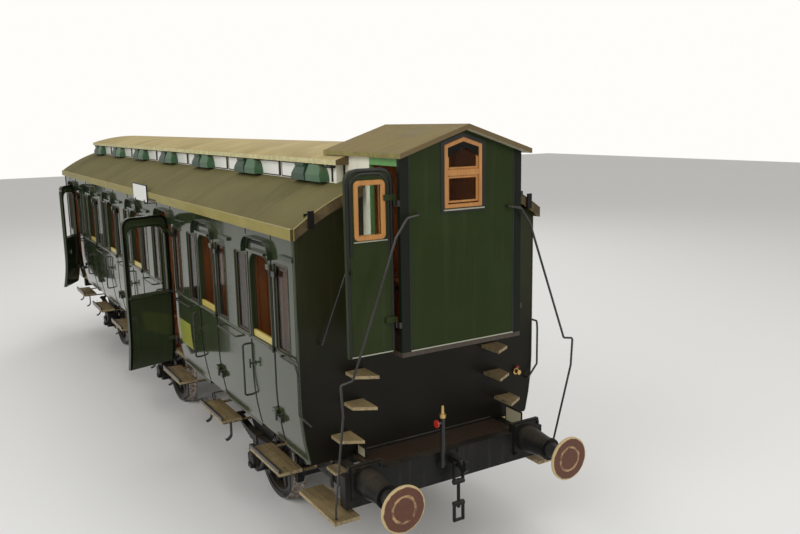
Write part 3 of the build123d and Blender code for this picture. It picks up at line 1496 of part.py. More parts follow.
# Screw couplings hanging from the draw hooks
with BuildPart() as couplings:
    for x, s in ends:
        pin_x = x + s * coupling_pin_x
        low = buffer_z - coupling_drop
        drop = link_len[1] / 4
        trunnion_zs = (buffer_z - link_len[0], low + drop)
        bars = [(buffer_z, coupling_pin_r, coupling_w + 2 * seat_gap)]
        bars += [(z, 2 * coupling_rod_r, coupling_w) for z in trunnion_zs]
        bars += [(low - 3 * drop, 1.2 * coupling_rod_r, coupling_w)]
        for z, radius, width in bars:
            with BuildSketch(side_sketch_plane(1, width / 2)):
                with Locations((pin_x, z)):
                    Circle(radius)
            extrude(amount=width)
        for side in sides.values():
            for z, length in ((buffer_z - link_len[0] / 2, link_len[0]), (low - drop, link_len[1])):
                with BuildSketch(side_sketch_plane(side, link_y)):
                    with Locations((pin_x, z)):
                        SlotCenterToCenter(length, 2.6 * coupling_rod_r, rotation=90)
                extrude(amount=-side * link_t)
        with BuildSketch(Plane.XY.offset(low)):
            with Locations((pin_x, 0)):
                Circle(1.3 * coupling_rod_r)
        extrude(amount=trunnion_zs[0] - low + 2 * coupling_rod_r)
save(couplings.part, "couplings")

# Upright brake pipe on the near headstock with its cock
with BuildPart() as brake_pipe:
    low, high = pipe_z
    pipe_x = near_headstock_x + pipe_stand
    socket_z = high - socket_h - nozzle_h
    add(rod([(near_headstock_x + seat_gap, -pipe_y, low), (pipe_x, -pipe_y, low),
             (pipe_x, -pipe_y, socket_z + 2)], pipe_r, pipe_bend))
    with BuildSketch(Plane.XY.offset(socket_z)):
        with Locations((pipe_x, -pipe_y)):
            Circle(pipe_r * 1.35)
    extrude(amount=socket_h + 2)
    with BuildSketch(Plane.XY.offset(high - nozzle_h)):
        with Locations((pipe_x, -pipe_y)):
            Circle(pipe_r * 0.75)
    extrude(amount=nozzle_h, taper=4)
    valve_parts = ((0, valve_len, pipe_r * 0.7), (valve_len - valve_knob_t, valve_knob_t, pipe_r * 1.6))
    for start, length, radius in valve_parts:
        with BuildSketch(side_sketch_plane(-1, pipe_y + start)):
            with Locations((pipe_x, valve_z)):
                Circle(radius)
        extrude(amount=length)
save(brake_pipe.part, "brake_pipe")
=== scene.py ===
import math

import bmesh
import bpy
import numpy as np
from mathutils import Matrix, Vector


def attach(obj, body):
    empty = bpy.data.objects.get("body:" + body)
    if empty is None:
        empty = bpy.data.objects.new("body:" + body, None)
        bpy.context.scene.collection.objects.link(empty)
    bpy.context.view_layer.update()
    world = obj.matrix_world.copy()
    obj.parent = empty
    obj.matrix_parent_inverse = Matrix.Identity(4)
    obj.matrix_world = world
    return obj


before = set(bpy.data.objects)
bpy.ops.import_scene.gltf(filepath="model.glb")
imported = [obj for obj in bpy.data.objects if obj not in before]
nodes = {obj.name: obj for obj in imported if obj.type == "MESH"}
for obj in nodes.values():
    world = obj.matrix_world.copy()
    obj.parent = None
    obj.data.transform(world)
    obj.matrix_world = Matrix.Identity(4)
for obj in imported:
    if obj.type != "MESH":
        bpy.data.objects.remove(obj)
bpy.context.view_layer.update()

scene = bpy.context.scene
scene.view_settings.view_transform = "Standard"
print("frame loaded:", len(nodes), "nodes")

# sizes that several pieces share, in metres; side a is at -Y, side b at +Y
coach = {
    "doorXs": [4.74 - 1.58 * i for i in range(7)],
    "pitch": 1.58,
    "sides": {"a": -1, "b": 1},
    "openDoors": {("a", 3): 106.0, ("a", 7): 150.0},
    "axleXs": (3.75, 0.0, -3.75),
    "axleZ": 0.5,
    "halfWidth": 1.28,
    "sillZ": 1.12,
    "tuckIn": 0.08,
    "tuckZ": 1.75,
    "eaveZ": 3.20,
    "bodyHalf": 5.55,
    "doorEdge": 0.303,
    "hingeY": 1.302,
    "wallThick": 0.045,
    "nearBeam": 5.95,
    "farBeam": -5.70,
}


# one output of a shader node; sums, products and comparisons with a wire are Math nodes
class wire:
    def __init__(self, socket):
        self.socket, self.tree = socket, socket.id_data

    def __add__(self, other):
        return maths("ADD", self, other)

    def __sub__(self, other):
        return maths("SUBTRACT", self, other)

    def __rsub__(self, other):
        return maths("SUBTRACT", other, self)

    def __mul__(self, other):
        return maths("MULTIPLY", self, other)

    def __gt__(self, other):
        return maths("GREATER_THAN", self, other)

    def __lt__(self, other):
        return maths("LESS_THAN", self, other)

    def __abs__(self):
        return maths("ABSOLUTE", self)


def feed(socket, value):
    # a wire is linked, anything else is set; a colour of three gets its fourth value
    if isinstance(value, wire):
        value.tree.links.new(value.socket, socket)
    else:
        socket.default_value = (*value, 1) if socket.type == "RGBA" and len(value) == 3 else value


def addNode(kind, inputs, output=0, **settings):
    # a shader node in the tree of its wires, and one output of it
    tree = next(value.tree for value in inputs.values() if isinstance(value, wire))
    made = tree.nodes.new("ShaderNode" + kind)
    for key, value in settings.items():
        setattr(made, key, value)
    for key, value in inputs.items():
        feed(made.inputs[key], value)
    return wire(made.outputs[output])


def maths(operation, a, b=0.0, clamp=False):
    return addNode("Math", {0: a, 1: b}, operation=operation, use_clamp=clamp)


def smooth(value, low, high):
    # 0 below low, 1 above high, an S-shaped ramp between
    inputs = {"Value": value, "From Min": low, "From Max": high}
    return addNode("MapRange", inputs, "Result", interpolation_type="SMOOTHSTEP")


def lineMask(value, narrow, wide):
    # 1 on the line where value is 0, fading out between narrow and wide
    return 1.0 - smooth(value, narrow, wide)


def blendColour(factor, a, b):
    return addNode("Mix", {0: factor, 6: a, 7: b}, 2, data_type="RGBA")


def blendValue(factor, a, b):
    return addNode("Mix", {"Factor": factor, "A": a, "B": b}, "Result")


def noise(place, scale, detail=4.0, roughness=0.55, distortion=0.0):
    return addNode("TexNoise", {"Vector": place, "Scale": scale, "Detail": detail, "Roughness": roughness,
                                "Distortion": distortion}, "Fac")


def stretch(place, scale):
    return addNode("Mapping", {"Vector": place, "Scale": scale}, "Vector")


def split(place):
    # the x, y and z of a vector
    first = addNode("SeparateXYZ", {"Vector": place})
    return [wire(socket) for socket in first.socket.node.outputs]


def radiusFrom(side, up):
    return maths("SQRT", side * side + up * up)


# camera at the photograph's place, with its turn in radians
view = {
    "place": (11.588, -3.917, 4.075),
    "yaw": 2.597,
    "pitch": -0.181,
    "roll": -0.018,
    "lens": 36.05,
    "sensor": 36.0,
    "clip": (0.1, 400),
}


def makeCamera():
    # looks along d = (cos p cos y, cos p sin y, sin p), then turned about d by the roll
    yaw, pitch, roll = view["yaw"], view["pitch"], view["roll"]
    ahead = Vector((math.cos(pitch) * math.cos(yaw), math.cos(pitch) * math.sin(yaw), math.sin(pitch)))
    right = ahead.cross(Vector((0, 0, 1))).normalized()
    up = right.cross(ahead)
    turnedRight = right * math.cos(roll) + up * math.sin(roll)
    turnedUp = up * math.cos(roll) - right * math.sin(roll)
    data = bpy.data.cameras.new("photoCamera")
    data.lens, data.sensor_width = view["lens"], view["sensor"]
    data.clip_start, data.clip_end = view["clip"]
    camera = bpy.data.objects.new("photoCamera", data)
    scene.collection.objects.link(camera)
    axes = Matrix((turnedRight, turnedUp, -ahead)).transposed().to_4x4()
    camera.matrix_world = Matrix.Translation(view["place"]) @ axes
    scene.camera = camera


makeCamera()

# broad lamps: name, place, size in metres, watts
lamps = {
    "worldColour": (1.0, 0.985, 0.955),
    "worldStrength": 0.58,
    "aim": (0, 0, 1.5),
    "soft": [
        ("keyLamp", (9, -14, 13), 9.0, 1150),
        ("fillLamp", (18, 6, 9), 8.0, 560),
        ("backLamp", (-14, 10, 14), 9.0, 700),
        ("topLamp", (0, 0, 16), 10.0, 520),
    ],
}


def makeLights():
    # square lamps aimed at the coach, on an even pale world that shows white behind it
    world = bpy.data.worlds.new("paleWorld")
    scene.world = world
    world.use_nodes = True
    background = world.node_tree.nodes["Background"].inputs
    rays = world.node_tree.nodes.new("ShaderNodeLightPath").outputs
    seen = maths("MAXIMUM", wire(rays["Is Camera Ray"]), wire(rays["Is Transmission Ray"]))
    feed(background["Strength"], blendValue(seen, lamps["worldStrength"], 1.0))
    feed(background["Color"], lamps["worldColour"])
    for name, place, size, power in lamps["soft"]:
        data = bpy.data.lights.new(name, "AREA")
        data.shape, data.size, data.energy = "SQUARE", size, power
        lamp = bpy.data.objects.new(name, data)
        aimed = (Vector(place) - Vector(lamps["aim"])).to_track_quat("Z", "Y").to_matrix().to_4x4()
        lamp.matrix_world = Matrix.Translation(place) @ aimed
        scene.collection.objects.link(lamp)


makeLights()
print("camera and lights placed")


def makeGroup(name, look, inputs):
    # shader group with named inputs; look(given) gives its colour, roughness and height
    tree = bpy.data.node_groups.new(name, "ShaderNodeTree")
    for title, default in inputs.items():
        kind = "Vector" if default is None else "Color" if isinstance(default, tuple) else "Float"
        socket = tree.interface.new_socket(title, in_out="INPUT", socket_type="NodeSocket" + kind)
        if default is not None:
            socket.default_value = (*default, 1) if kind == "Color" else default
    for title, kind in (("Colour", "Color"), ("Roughness", "Float"), ("Height", "Float")):
        tree.interface.new_socket(title, in_out="OUTPUT", socket_type="NodeSocket" + kind)
    given = {socket.name: wire(socket) for socket in tree.nodes.new("NodeGroupInput").outputs}
    for socket, value in zip(tree.nodes.new("NodeGroupOutput").inputs, look(given)):
        feed(socket, value)
    return tree


def useGroup(group, inputs):
    # a placed group's colour, roughness and height
    made = inputs["Vector"].tree.nodes.new("ShaderNodeGroup")
    made.node_tree = group
    for key, value in inputs.items():
        feed(made.inputs[key], value)
    return [wire(socket) for socket in made.outputs]


def ageLook(given):
    # paint that has lived: clouds of fading, brush marks, runs of dirt, dust on what faces up
    place, paint, dust = given["Vector"], given["Paint"], given["Dust"]
    clouds = noise(place, 1.7, 5)
    fine = noise(place, 46, 6, 0.65)
    streaks = smooth(noise(stretch(place, (14, 14, 0.9)), 1.0, 4), 0.52, 0.72)
    brush = noise(stretch(place, (260, 260, 9)), 1.0, 2)
    faded = smooth(clouds, 0.35, 0.75) * given["Fading"]
    lighter = addNode("HueSaturation", {"Saturation": 0.82, "Value": 1.7, "Color": paint}, "Color")
    colour = blendColour(faded, paint, lighter)
    colour = blendColour(streaks * given["Streaks"], colour, dust)
    upward = smooth(split(given["Normal"])[2], 0.25, 0.95)
    patchy = smooth(clouds * (fine + 0.5), 0.22, 0.75)
    dusty = maths("MULTIPLY", upward * patchy, given["Dusting"], True)
    rough = maths("ADD", given["Gloss"] + fine * 0.10, dusty * 0.45, True)
    return blendColour(dusty, colour, dust), rough, fine + brush * 0.35


def woodLook(given):
    # long grain: noise stretched along the grain, folded into rings, with short pores
    place = given["Vector"]
    warp = noise(place, given["Rings"], 3, 0.5, 0.4)
    rings = abs(maths("FRACT", warp * 6.0) * 2.0 - 1.0)
    pores = smooth(noise(place, 90, 3, 0.6), 0.50, 0.62)
    tone = (rings + pores) * 0.5
    soiled = smooth(noise(place, 2.3, 5, 0.6), 0.45, 0.75) * given["Soiling"]
    colour = blendColour(soiled, blendColour(tone, given["Light"], given["Dark"]), given["Soil"])
    return colour, maths("ADD", given["Gloss"], tone * 0.22, True), 1.0 - tone


plainDust = (0.26, 0.23, 0.16)
plainSoil = (0.05, 0.04, 0.03)
ageGroup = makeGroup("paintAge", ageLook, {
    "Vector": None, "Normal": None, "Paint": (0.1, 0.1, 0.1), "Dust": plainDust, "Dusting": 0.4, "Fading": 0.3,
    "Streaks": 0.2, "Gloss": 0.2})
woodGroup = makeGroup("woodGrain", woodLook, {
    "Vector": None, "Light": (0.4, 0.2, 0.08), "Dark": (0.12, 0.04, 0.02), "Rings": 7.0, "Soiling": 0.2,
    "Soil": plainSoil, "Gloss": 0.3})

# light, dark, soil, rings, soiling, gloss
woods = {
    "sash": ((0.55, 0.245, 0.055), (0.31, 0.120, 0.024), plainSoil, 1.6, 0.20, 0.26),
    # darkSash: near-black wood; on the side windows' sashes its darkness is partly painted shade of deep reveals
    "darkSash": ((0.050, 0.030, 0.016), (0.018, 0.012, 0.008), plainSoil, 1.6, 0.3, 0.3),
    "sashRail": ((0.58, 0.46, 0.10), (0.40, 0.29, 0.05), plainSoil, 1.6, 0.12, 0.25),
    "lining": ((0.54, 0.205, 0.070), (0.26, 0.085, 0.027), plainSoil, 1.2, 0.15, 0.2),
    "board": ((0.25, 0.18, 0.078), (0.095, 0.065, 0.030), (0.035, 0.03, 0.022), 1.4, 0.55, 0.55),
}
# paint, dust, dusting, fading, streaks, gloss
paints = {
    "body": ((0.025, 0.036, 0.014), plainDust, 0.25, 0.30, 0.04, 0.09),
    "end": ((0.026, 0.029, 0.011), plainDust, 0.1, 0.30, 0.04, 0.34),
    "darkTrim": ((0.006, 0.007, 0.004), plainDust, 0.1, 0.30, 0.04, 0.34),
    # near-black for the doors' dark gaps, and for painted shade and dark reflection on the stiles and in the cabin
    # window's head
    "darkGapAndShade": ((0.004, 0.005, 0.003), plainDust, 0.1, 0.30, 0.04, 0.34),
    "cabin": ((0.017, 0.028, 0.005), plainDust, 0.15, 0.35, 0.03, 0.30),
    # hood: the pale grey dust on its upward faces is partly dust and partly a painted highlight along the hood's top
    "hood": ((0.013, 0.024, 0.009), (0.20, 0.20, 0.15), 0.85, 0.3, 0.05, 0.2),
    "header": ((0.115, 0.31, 0.085), (0.30, 0.42, 0.20), 0.3, 0.25, 0.15, 0.35),
    # the ventilators' two greens are lit and shaded copies of one paint: painted shade on the half towards the far end
    "ventShadedHalf": ((0.017, 0.050, 0.026), plainDust, 0.45, 0.4, 0.10, 0.35),
    "ventLitHalf": ((0.044, 0.115, 0.050), plainDust, 0.45, 0.5, 0.12, 0.35),
    # cream on the clerestory walls is brightened nearly to white: the cream paint with painted glare on it
    "cream": ((0.84, 0.83, 0.72), (0.40, 0.37, 0.24), 0.4, 0.05, 0.22, 0.38),
    "fascia": ((0.245, 0.205, 0.036), (0.20, 0.16, 0.05), 0.3, 0.35, 0.35, 0.34),
    "black": ((0.009, 0.009, 0.008), (0.10, 0.08, 0.055), 0.40, 0.6, 0.15, 0.33),
    "rail": ((0.035, 0.034, 0.031), (0.15, 0.12, 0.085), 0.5, 0.9, 0.1, 0.22),
    "wheel": ((0.018, 0.016, 0.014), (0.12, 0.09, 0.06), 0.6, 0.5, 0.2, 0.42),
    # near-white strips in the clerestory panes: painted glow of the light shining through them
    "paintedGlow": ((0.90, 0.90, 0.84), (0.55, 0.53, 0.42), 0.3, 0.0, 0.12, 0.18),
    "plate": ((0.60, 0.55, 0.36), (0.36, 0.31, 0.18), 0.3, 0.1, 0.15, 0.38),
    # olive-yellow patch on side a: a painted reflection
    "reflectionPatch": ((0.30, 0.32, 0.055), (0.25, 0.24, 0.10), 0.2, 0.1, 0.05, 0.3),
    "board": ((0.76, 0.77, 0.74), (0.36, 0.33, 0.24), 0.3, 0.05, 0.10, 0.35),
    "brass": ((0.58, 0.38, 0.13), (0.20, 0.12, 0.05), 0.3, 0.2, 0.2, 0.25),
    "red": ((0.38, 0.028, 0.018), (0.22, 0.12, 0.09), 0.3, 0.2, 0.0, 0.3),
    "strip": ((0.42, 0.42, 0.34), (0.20, 0.18, 0.12), 0.3, 0.2, 0.2, 0.3),
    "deck": ((0.112, 0.094, 0.026), (0.17, 0.148, 0.060), 0.55, 0.25, 0.0, 0.62),
    "cabinRoof": ((0.155, 0.112, 0.026), (0.21, 0.160, 0.055), 0.55, 0.25, 0.0, 0.60),
    "topRoof": ((0.330, 0.245, 0.085), (0.46, 0.39, 0.20), 0.60, 0.25, 0.0, 0.58),
}


def aged(paint, place, normal):
    names = ("Paint", "Dust", "Dusting", "Fading", "Streaks", "Gloss")
    return useGroup(ageGroup, dict(zip(names, paints[paint]), Vector=place, Normal=normal))


def grain(wood, place, along):
    # wood with its grain along one axis of the object
    scale = [11.0, 11.0, 11.0]
    scale["xyz".index(along)] = 0.8
    names = ("Light", "Dark", "Soil", "Rings", "Soiling", "Gloss")
    return useGroup(woodGroup, dict(zip(names, woods[wood]), Vector=stretch(place, scale)))


def makeMaterial(name, look, bump=0.0004, **sockets):
    # look(place, normal) gives colour, roughness, height and perhaps metal, on the object's own coordinates
    material = bpy.data.materials.new(name)
    material.use_nodes = True
    surface = material.node_tree.nodes["Principled BSDF"].inputs
    for key, value in sockets.items():
        surface[key.replace("_", " ")].default_value = value
    coords = material.node_tree.nodes.new("ShaderNodeTexCoord").outputs
    colour, rough, height, *metal = look(wire(coords["Object"]), wire(coords["Normal"]))
    feed(surface["Base Color"], colour)
    feed(surface["Roughness"], rough)
    for value in metal:
        feed(surface["Metallic"], value)
    feed(surface["Normal"], addNode("Bump", {"Height": height, "Distance": bump, "Strength": 1.0}, "Normal"))
    return material


def paintMaterial(name, paint, bump=0.0004, coat=0.0, metal=0.0, shine=0.3):
    return makeMaterial(name, lambda place, normal: aged(paint, place, normal), bump, Metallic=metal,
                        Coat_Weight=coat, Coat_Roughness=0.06, Specular_IOR_Level=shine)


def linedMaterial(name, paint, inside, coat=0.0, extra=None, shine=0.3):
    # paint outside and varnished matchboard inside, where the mask inside(place, normal) is 1
    def look(place, normal):
        painted = aged(paint, place, normal)
        wood = grain("lining", place, "z")
        mask = inside(place, normal)
        if extra:
            painted[0] = extra(place, painted[0])
        return [blend(mask, a, b) for blend, a, b in zip((blendColour, blendValue, blendValue), painted, wood)]
    return makeMaterial(name, look, Coat_Weight=coat, Coat_Roughness=0.04, Specular_IOR_Level=shine)


def looksInward(axis):
    # the face looks against the side of the coach it is on, along one axis: sign(p) n < -0.5
    return lambda place, normal: maths("SIGN", split(place)[axis]) * split(normal)[axis] < -0.5


def leafInside(outX, outY):
    # faces of a door leaf that look away from its outer side: normal . out below -0.5
    def mask(place, normal):
        x, y, z = split(normal)
        return x * outX + y * outY < -0.5
    return mask


# the cabin's own colours: its inside box, its dark corner posts, the cream and green behind its door
cabinPaint = {
    "insideHalf": 0.5795,
    "insideMiddle": 5.6775,
    "insideReach": 0.4425,
    "postY": 0.537,
    "postColour": (0.008, 0.011, 0.007),
    "creamColours": ((0.76, 0.75, 0.62), (0.30, 0.27, 0.16)),
    "headerX": 5.674,
    "headerColours": ((0.09, 0.25, 0.065), (0.16, 0.40, 0.115)),
    "darkPatchZ": (3.52, 3.72),
}


def cabinInside(place, normal):
    # |y| < half and |x - middle| < reach
    x, y, z = split(place)
    return (abs(y) < cabinPaint["insideHalf"]) * (abs(x - cabinPaint["insideMiddle"]) < cabinPaint["insideReach"])


def cornerPosts(place, colour):
    # near-black posts up the cabin's front corners
    return blendColour(abs(split(place)[1]) > cabinPaint["postY"], colour, cabinPaint["postColour"])


def cabinSideColours(place, colour):
    # cream behind the door with dark patches, more of them towards the bottom; bright green header over it
    x, y, z = split(place)
    darkPatches = smooth(noise(place, 6.0, 6, 0.65, 0.5), 0.42, 0.68)
    low = 1.0 - smooth(z, *cabinPaint["darkPatchZ"])
    cream = blendColour(darkPatches * (low * 0.55 + 0.12), *cabinPaint["creamColours"])
    mottle = blendColour(noise(place, 30, 4), *cabinPaint["headerColours"])
    return blendColour(x > cabinPaint["headerX"], cream, mottle)


# where the painted shade on the end wall's foot starts and ends, and its colour
endFootShade = {"zs": (1.75, 2.75), "colour": (0.009, 0.008, 0.005)}


def shadedEndFoot(place, colour):
    # painted shade: the end wall darkens from its middle down to its foot, where it lies in shadow under the cabin
    return blendColour(1.0 - smooth(split(place)[2], *endFootShade["zs"]), colour, endFootShade["colour"])


# seams across the canvas every two spans, its colours underneath and at the ends
canvas = {
    "seamSpan": 0.475,
    "seamWidth": (0.004, 0.012),
    "under": (0.42, 0.38, 0.27),
    "ends": (0.135, 0.095, 0.040),
    "weave": 160.0,
}


def canvasMaterial(name, paint, edgeColour):
    # painted canvas: weave, seams, dark stains and runs, and its own colour along the edges
    def look(place, normal):
        facing = split(normal)
        tone = [np.multiply(paints[paint][0], share).tolist() for share in (0.55, 0.4)]
        colour, rough, height = aged(paint, place, normal)
        darkPatches = smooth(noise(place, 0.9, 6, 0.6, 0.6), 0.50, 0.72)
        colour = blendColour(darkPatches * 0.45, colour, tone[0])
        runs = smooth(noise(stretch(place, (9, 0.8, 1)), 1.0, 5, 0.6), 0.50, 0.70)
        colour = blendColour(runs * 0.22, colour, tone[0])
        seam = lineMask(maths("PINGPONG", split(place)[0], canvas["seamSpan"]), *canvas["seamWidth"])
        colour = blendColour(seam * 0.35, colour, tone[1])
        chips = smooth(noise(place, 17, 5, 0.65), 0.38, 0.62)
        edging = blendColour(chips * 0.6, edgeColour, np.multiply(edgeColour, 0.6).tolist())
        edging = blendColour(abs(facing[0]) > 0.5, edging, canvas["ends"])
        colour = blendColour(abs(facing[2]) < 0.55, colour, edging)
        colour = blendColour(facing[2] < -0.5, colour, canvas["under"])
        weave = [addNode("TexWave", {"Vector": place, "Scale": canvas["weave"], "Distortion": 1.5}, "Fac",
                         bands_direction=axis) for axis in "XY"]
        relief = (weave[0] + weave[1]) * 0.125 + height * 0.6 + seam * 1.2
        return colour, rough, relief
    return makeMaterial(name, look, 0.0015, Specular_IOR_Level=0.3)


def woodMaterial(name, wood, along, coat=0.0, plank=None):
    # varnished or oiled wood; plank = (axis, width) draws open joints across it
    def look(place, normal):
        colour, rough, height = grain(wood, place, along)
        if plank:
            joint = lineMask(maths("PINGPONG", split(place)[plank[0]], plank[1] / 2), 0.0012, 0.004)
            colour = blendColour(joint * 0.8, colour, (0.02, 0.014, 0.009))
            height = height - joint * 4.0
        return colour, rough, height
    return makeMaterial(name, look, 0.0005, Coat_Weight=coat, Coat_Roughness=0.12)


# oiled boards, and where their iron is: behind stairX the boards' brackets, before it the stairs' hangers
stepFinish = {
    "trodden": (0.33, 0.25, 0.12),
    "worn": (0.44, 0.35, 0.20),
    "stairX": 5.30,
    "board": (0.889, 0.018),
    "hung": (0.927, 0.125),
    "lowZ": 0.766,
    "iron": (0.014, 0.013, 0.012),
}


def stepLook(place, normal):
    # oiled plank, trodden pale in the middle and along its edges; the brackets are black iron
    s = stepFinish
    x, y, z = split(place)
    colour, rough, height = grain("board", place, "x")
    trodden = smooth(noise(place, 3.2, 5, 0.6), 0.42, 0.66)
    colour = blendColour(trodden * 0.5, colour, s["trodden"])
    worn = (abs(split(normal)[2]) < 0.5) * smooth(noise(place, 30, 3), 0.35, 0.6)
    colour = blendColour(worn * 0.6, colour, s["worn"])
    offBoard = abs(z - s["board"][0]) > s["board"][1]
    under = maths("MAXIMUM", abs(z - s["hung"][0]) < s["hung"][1], z < s["lowZ"])
    iron = blendValue(x < s["stairX"], under, offBoard)
    return blendColour(iron, colour, s["iron"]), rough, height


# how far from the axle the rubbed steel begins, and its clean and rusty colours
wheelFinish = {
    "tread": (0.488, 0.493),
    "steel": ((0.36, 0.33, 0.30), (0.16, 0.085, 0.045)),
    "metal": 0.8,
}


def wheelMaterial(name, axleX):
    # dark painted spokes; the tread and flange are rubbed bright
    def look(place, normal):
        x, y, z = split(place)
        colour, rough, height = aged("wheel", place, normal)
        bright = smooth(radiusFrom(x - axleX, z - coach["axleZ"]), *wheelFinish["tread"])
        steel = blendColour(smooth(noise(place, 24, 5, 0.6), 0.45, 0.62), *wheelFinish["steel"])
        return blendColour(bright, colour, steel), rough, height, bright * wheelFinish["metal"]
    return makeMaterial(name, look, 0.0012)


# buffer faces: where the heads are, the inner ring's and the rim's radii, and their colours
bufferFace = {
    "y": 0.875,
    "z": 1.05,
    "ring": 0.108,
    "ringWidth": (0.006, 0.014),
    "rim": (0.182, 0.190),
    "middleX": 0.125,
    "headX": 6.40,
    "rust": ((0.042, 0.017, 0.010), (0.165, 0.054, 0.026)),
    "ringColour": (0.42, 0.27, 0.13),
    "rimColour": (0.50, 0.38, 0.19),
    "back": (0.022, 0.020, 0.018),
}


def bufferLook(place, normal):
    # cream rim, red-brown worn face with an inner ring, dark greasy back
    b = bufferFace
    x, y, z = split(place)
    wobble = (noise(place, 16, 5) - 0.5) * 0.03
    reach = radiusFrom(abs(y) - b["y"], z - b["z"]) + wobble
    rusty = noise(place, 38, 6, 0.65)
    ring = lineMask(abs(reach - b["ring"]), *b["ringWidth"]) * smooth(noise(place, 9, 4), 0.40, 0.60)
    face = blendColour(ring, blendColour(rusty, *b["rust"]), b["ringColour"])
    face = blendColour(smooth(reach, *b["rim"]), face, b["rimColour"])
    colour = blendColour(abs(x - b["middleX"]) > b["headX"], b["back"], face)
    return colour, rusty * 0.4 + 0.32, rusty


# panes above the eaves and behind the cabin's front are milky; colours and roughness: clear, then milky
paneFinish = {
    "milkyZ": 3.45,
    "milkyX": 6.0,
    "colours": ((0.93, 0.96, 0.94), (0.97, 0.98, 0.94)),
    "rough": (0.03, 0.55),
}


def glassLook(place, normal):
    # thin panes under a faint uneven film
    x, y, z = split(place)
    high = (z > paneFinish["milkyZ"]) * (x < paneFinish["milkyX"])
    film = noise(place, 7, 5, 0.6)
    rough = blendValue(high, *paneFinish["rough"]) + film * 0.03
    return blendColour(high, *paneFinish["colours"]), rough, film


# the brake pipe's brass begins at tipZ, its red knob beyond knobY
pipeFinish = {
    "tipZ": 1.478,
    "brass": (0.62, 0.42, 0.16),
    "knobY": -0.165,
    "red": (0.42, 0.025, 0.015),
}


def pipeLook(place, normal):
    # black pipe with a brass tip and a red knob at the cock
    x, y, z = split(place)
    colour, rough, height = aged("black", place, normal)
    tip = z > pipeFinish["tipZ"]
    colour = blendColour(tip, colour, pipeFinish["brass"])
    return blendColour(y < pipeFinish["knobY"], colour, pipeFinish["red"]), rough, height, tip


# weathered browns, and the lighter runs in the yellow
fasciaFinish = {
    "brown": ((0.070, 0.050, 0.022), (0.150, 0.110, 0.048)),
    "runs": (0.21, 0.155, 0.045),
}


def fasciaLook(place, normal):
    # yellow boards along the sides, weathered brown ones across the ends
    colour, rough, height = aged("fascia", place, normal)
    brown = blendColour(smooth(noise(place, 5.0, 6, 0.6), 0.40, 0.65), *fasciaFinish["brown"])
    runs = smooth(noise(stretch(place, (2.2, 2.2, 14)), 1.0, 5, 0.6), 0.45, 0.70)
    yellow = blendColour(runs * 0.5, colour, fasciaFinish["runs"])
    return blendColour(abs(split(normal)[0]) > 0.5, yellow, brown), rough, height


def ventLitAndShadedLook(place, normal):
    # painted shade: each ventilator's half towards the far end, turned from the light, is a shaded copy of its green,
    # the other half a lit copy
    dark, light = aged("ventShadedHalf", place, normal), aged("ventLitHalf", place, normal)
    turn = maths("FRACT", maths("DIVIDE", split(place)[0], coach["pitch"]) + 0.5)
    return blendColour(turn > 0.504, dark[0], light[0]), dark[1], dark[2]


finishes = {
    "side": linedMaterial("bodyPaint", "body", looksInward(1), 0.42),
    "end": linedMaterial("endPaint", "end", looksInward(0), 0.0, shadedEndFoot, 0.15),
    "cabinFront": linedMaterial("cabinFrontPaint", "cabin", cabinInside, 0.0, cornerPosts, 0.12),
    "cabinSide": linedMaterial("cabinSidePaint", "header", cabinInside, 0.05, cabinSideColours),
    "trim": paintMaterial("trimPaint", "body", 0.0003, 0.45),
    "darkTrim": paintMaterial("darkTrimPaint", "darkTrim", 0.0003, 0.15),
    "darkGapAndShade": paintMaterial("darkGapAndShadePaint", "darkGapAndShade", 0.0002, shine=0.1),
    "hood": paintMaterial("hoodPaint", "hood", 0.0003, 0.25),
    "vent": makeMaterial("ventLitAndShadedPaint", ventLitAndShadedLook),
    "cream": paintMaterial("creamPaintAndGlare", "cream"),
    "fascia": makeMaterial("fasciaPaint", fasciaLook, Specular_IOR_Level=0.3),
    "black": paintMaterial("blackPaint", "black", 0.0010, shine=0.15),
    "rail": paintMaterial("railPaint", "rail", 0.0003, 0.2, 0.55),
    "deck": canvasMaterial("deckCanvas", "deck", (0.21, 0.165, 0.065)),
    "cabinRoof": canvasMaterial("cabinRoofCanvas", "cabinRoof", (0.26, 0.22, 0.075)),
    "topRoof": canvasMaterial("topRoofCanvas", "topRoof", (0.66, 0.60, 0.32)),
    "sash": woodMaterial("sashWood", "sash", "z", 0.35),
    "darkSash": woodMaterial("darkSashWood", "darkSash", "z", 0.06),
    "sashRail": woodMaterial("sashRailWood", "sashRail", "x", 0.35),
    "lining": woodMaterial("liningWood", "lining", "z", 0.45, (1, 0.09)),
    "bench": woodMaterial("benchWood", "lining", "y", 0.45, (0, 0.055)),
    "floorBoards": woodMaterial("floorWood", "board", "x", 0.0, (1, 0.14)),
    "step": makeMaterial("stepBoards", stepLook, 0.0008),
    "buffer": makeMaterial("bufferPaint", bufferLook, 0.0008, Specular_IOR_Level=0.4),
    "glass": makeMaterial("paneGlass", glassLook, 0.0003, Transmission_Weight=1.0, IOR=1.14),
    "pipe": makeMaterial("brakePipePaint", pipeLook, 0.0006),
    "paintedGlow": paintMaterial("paintedGlowStrip", "paintedGlow", 0.0001, 0.3),
    "plate": paintMaterial("blankPlate", "plate", 0.0003, 0.2),
    "reflectionPatch": paintMaterial("paintedReflectionPatch", "reflectionPatch", 0.0002, 0.2),
    "board": paintMaterial("blankBoard", "board", 0.0003, 0.2),
    "brass": paintMaterial("agedBrass", "brass", 0.0004, 0.0, 1.0),
    "redEnamel": paintMaterial("redEnamel", "red", 0.0003, 0.3),
    "strip": paintMaterial("brightStrip", "strip", 0.0003, 0.0, 0.6),
}

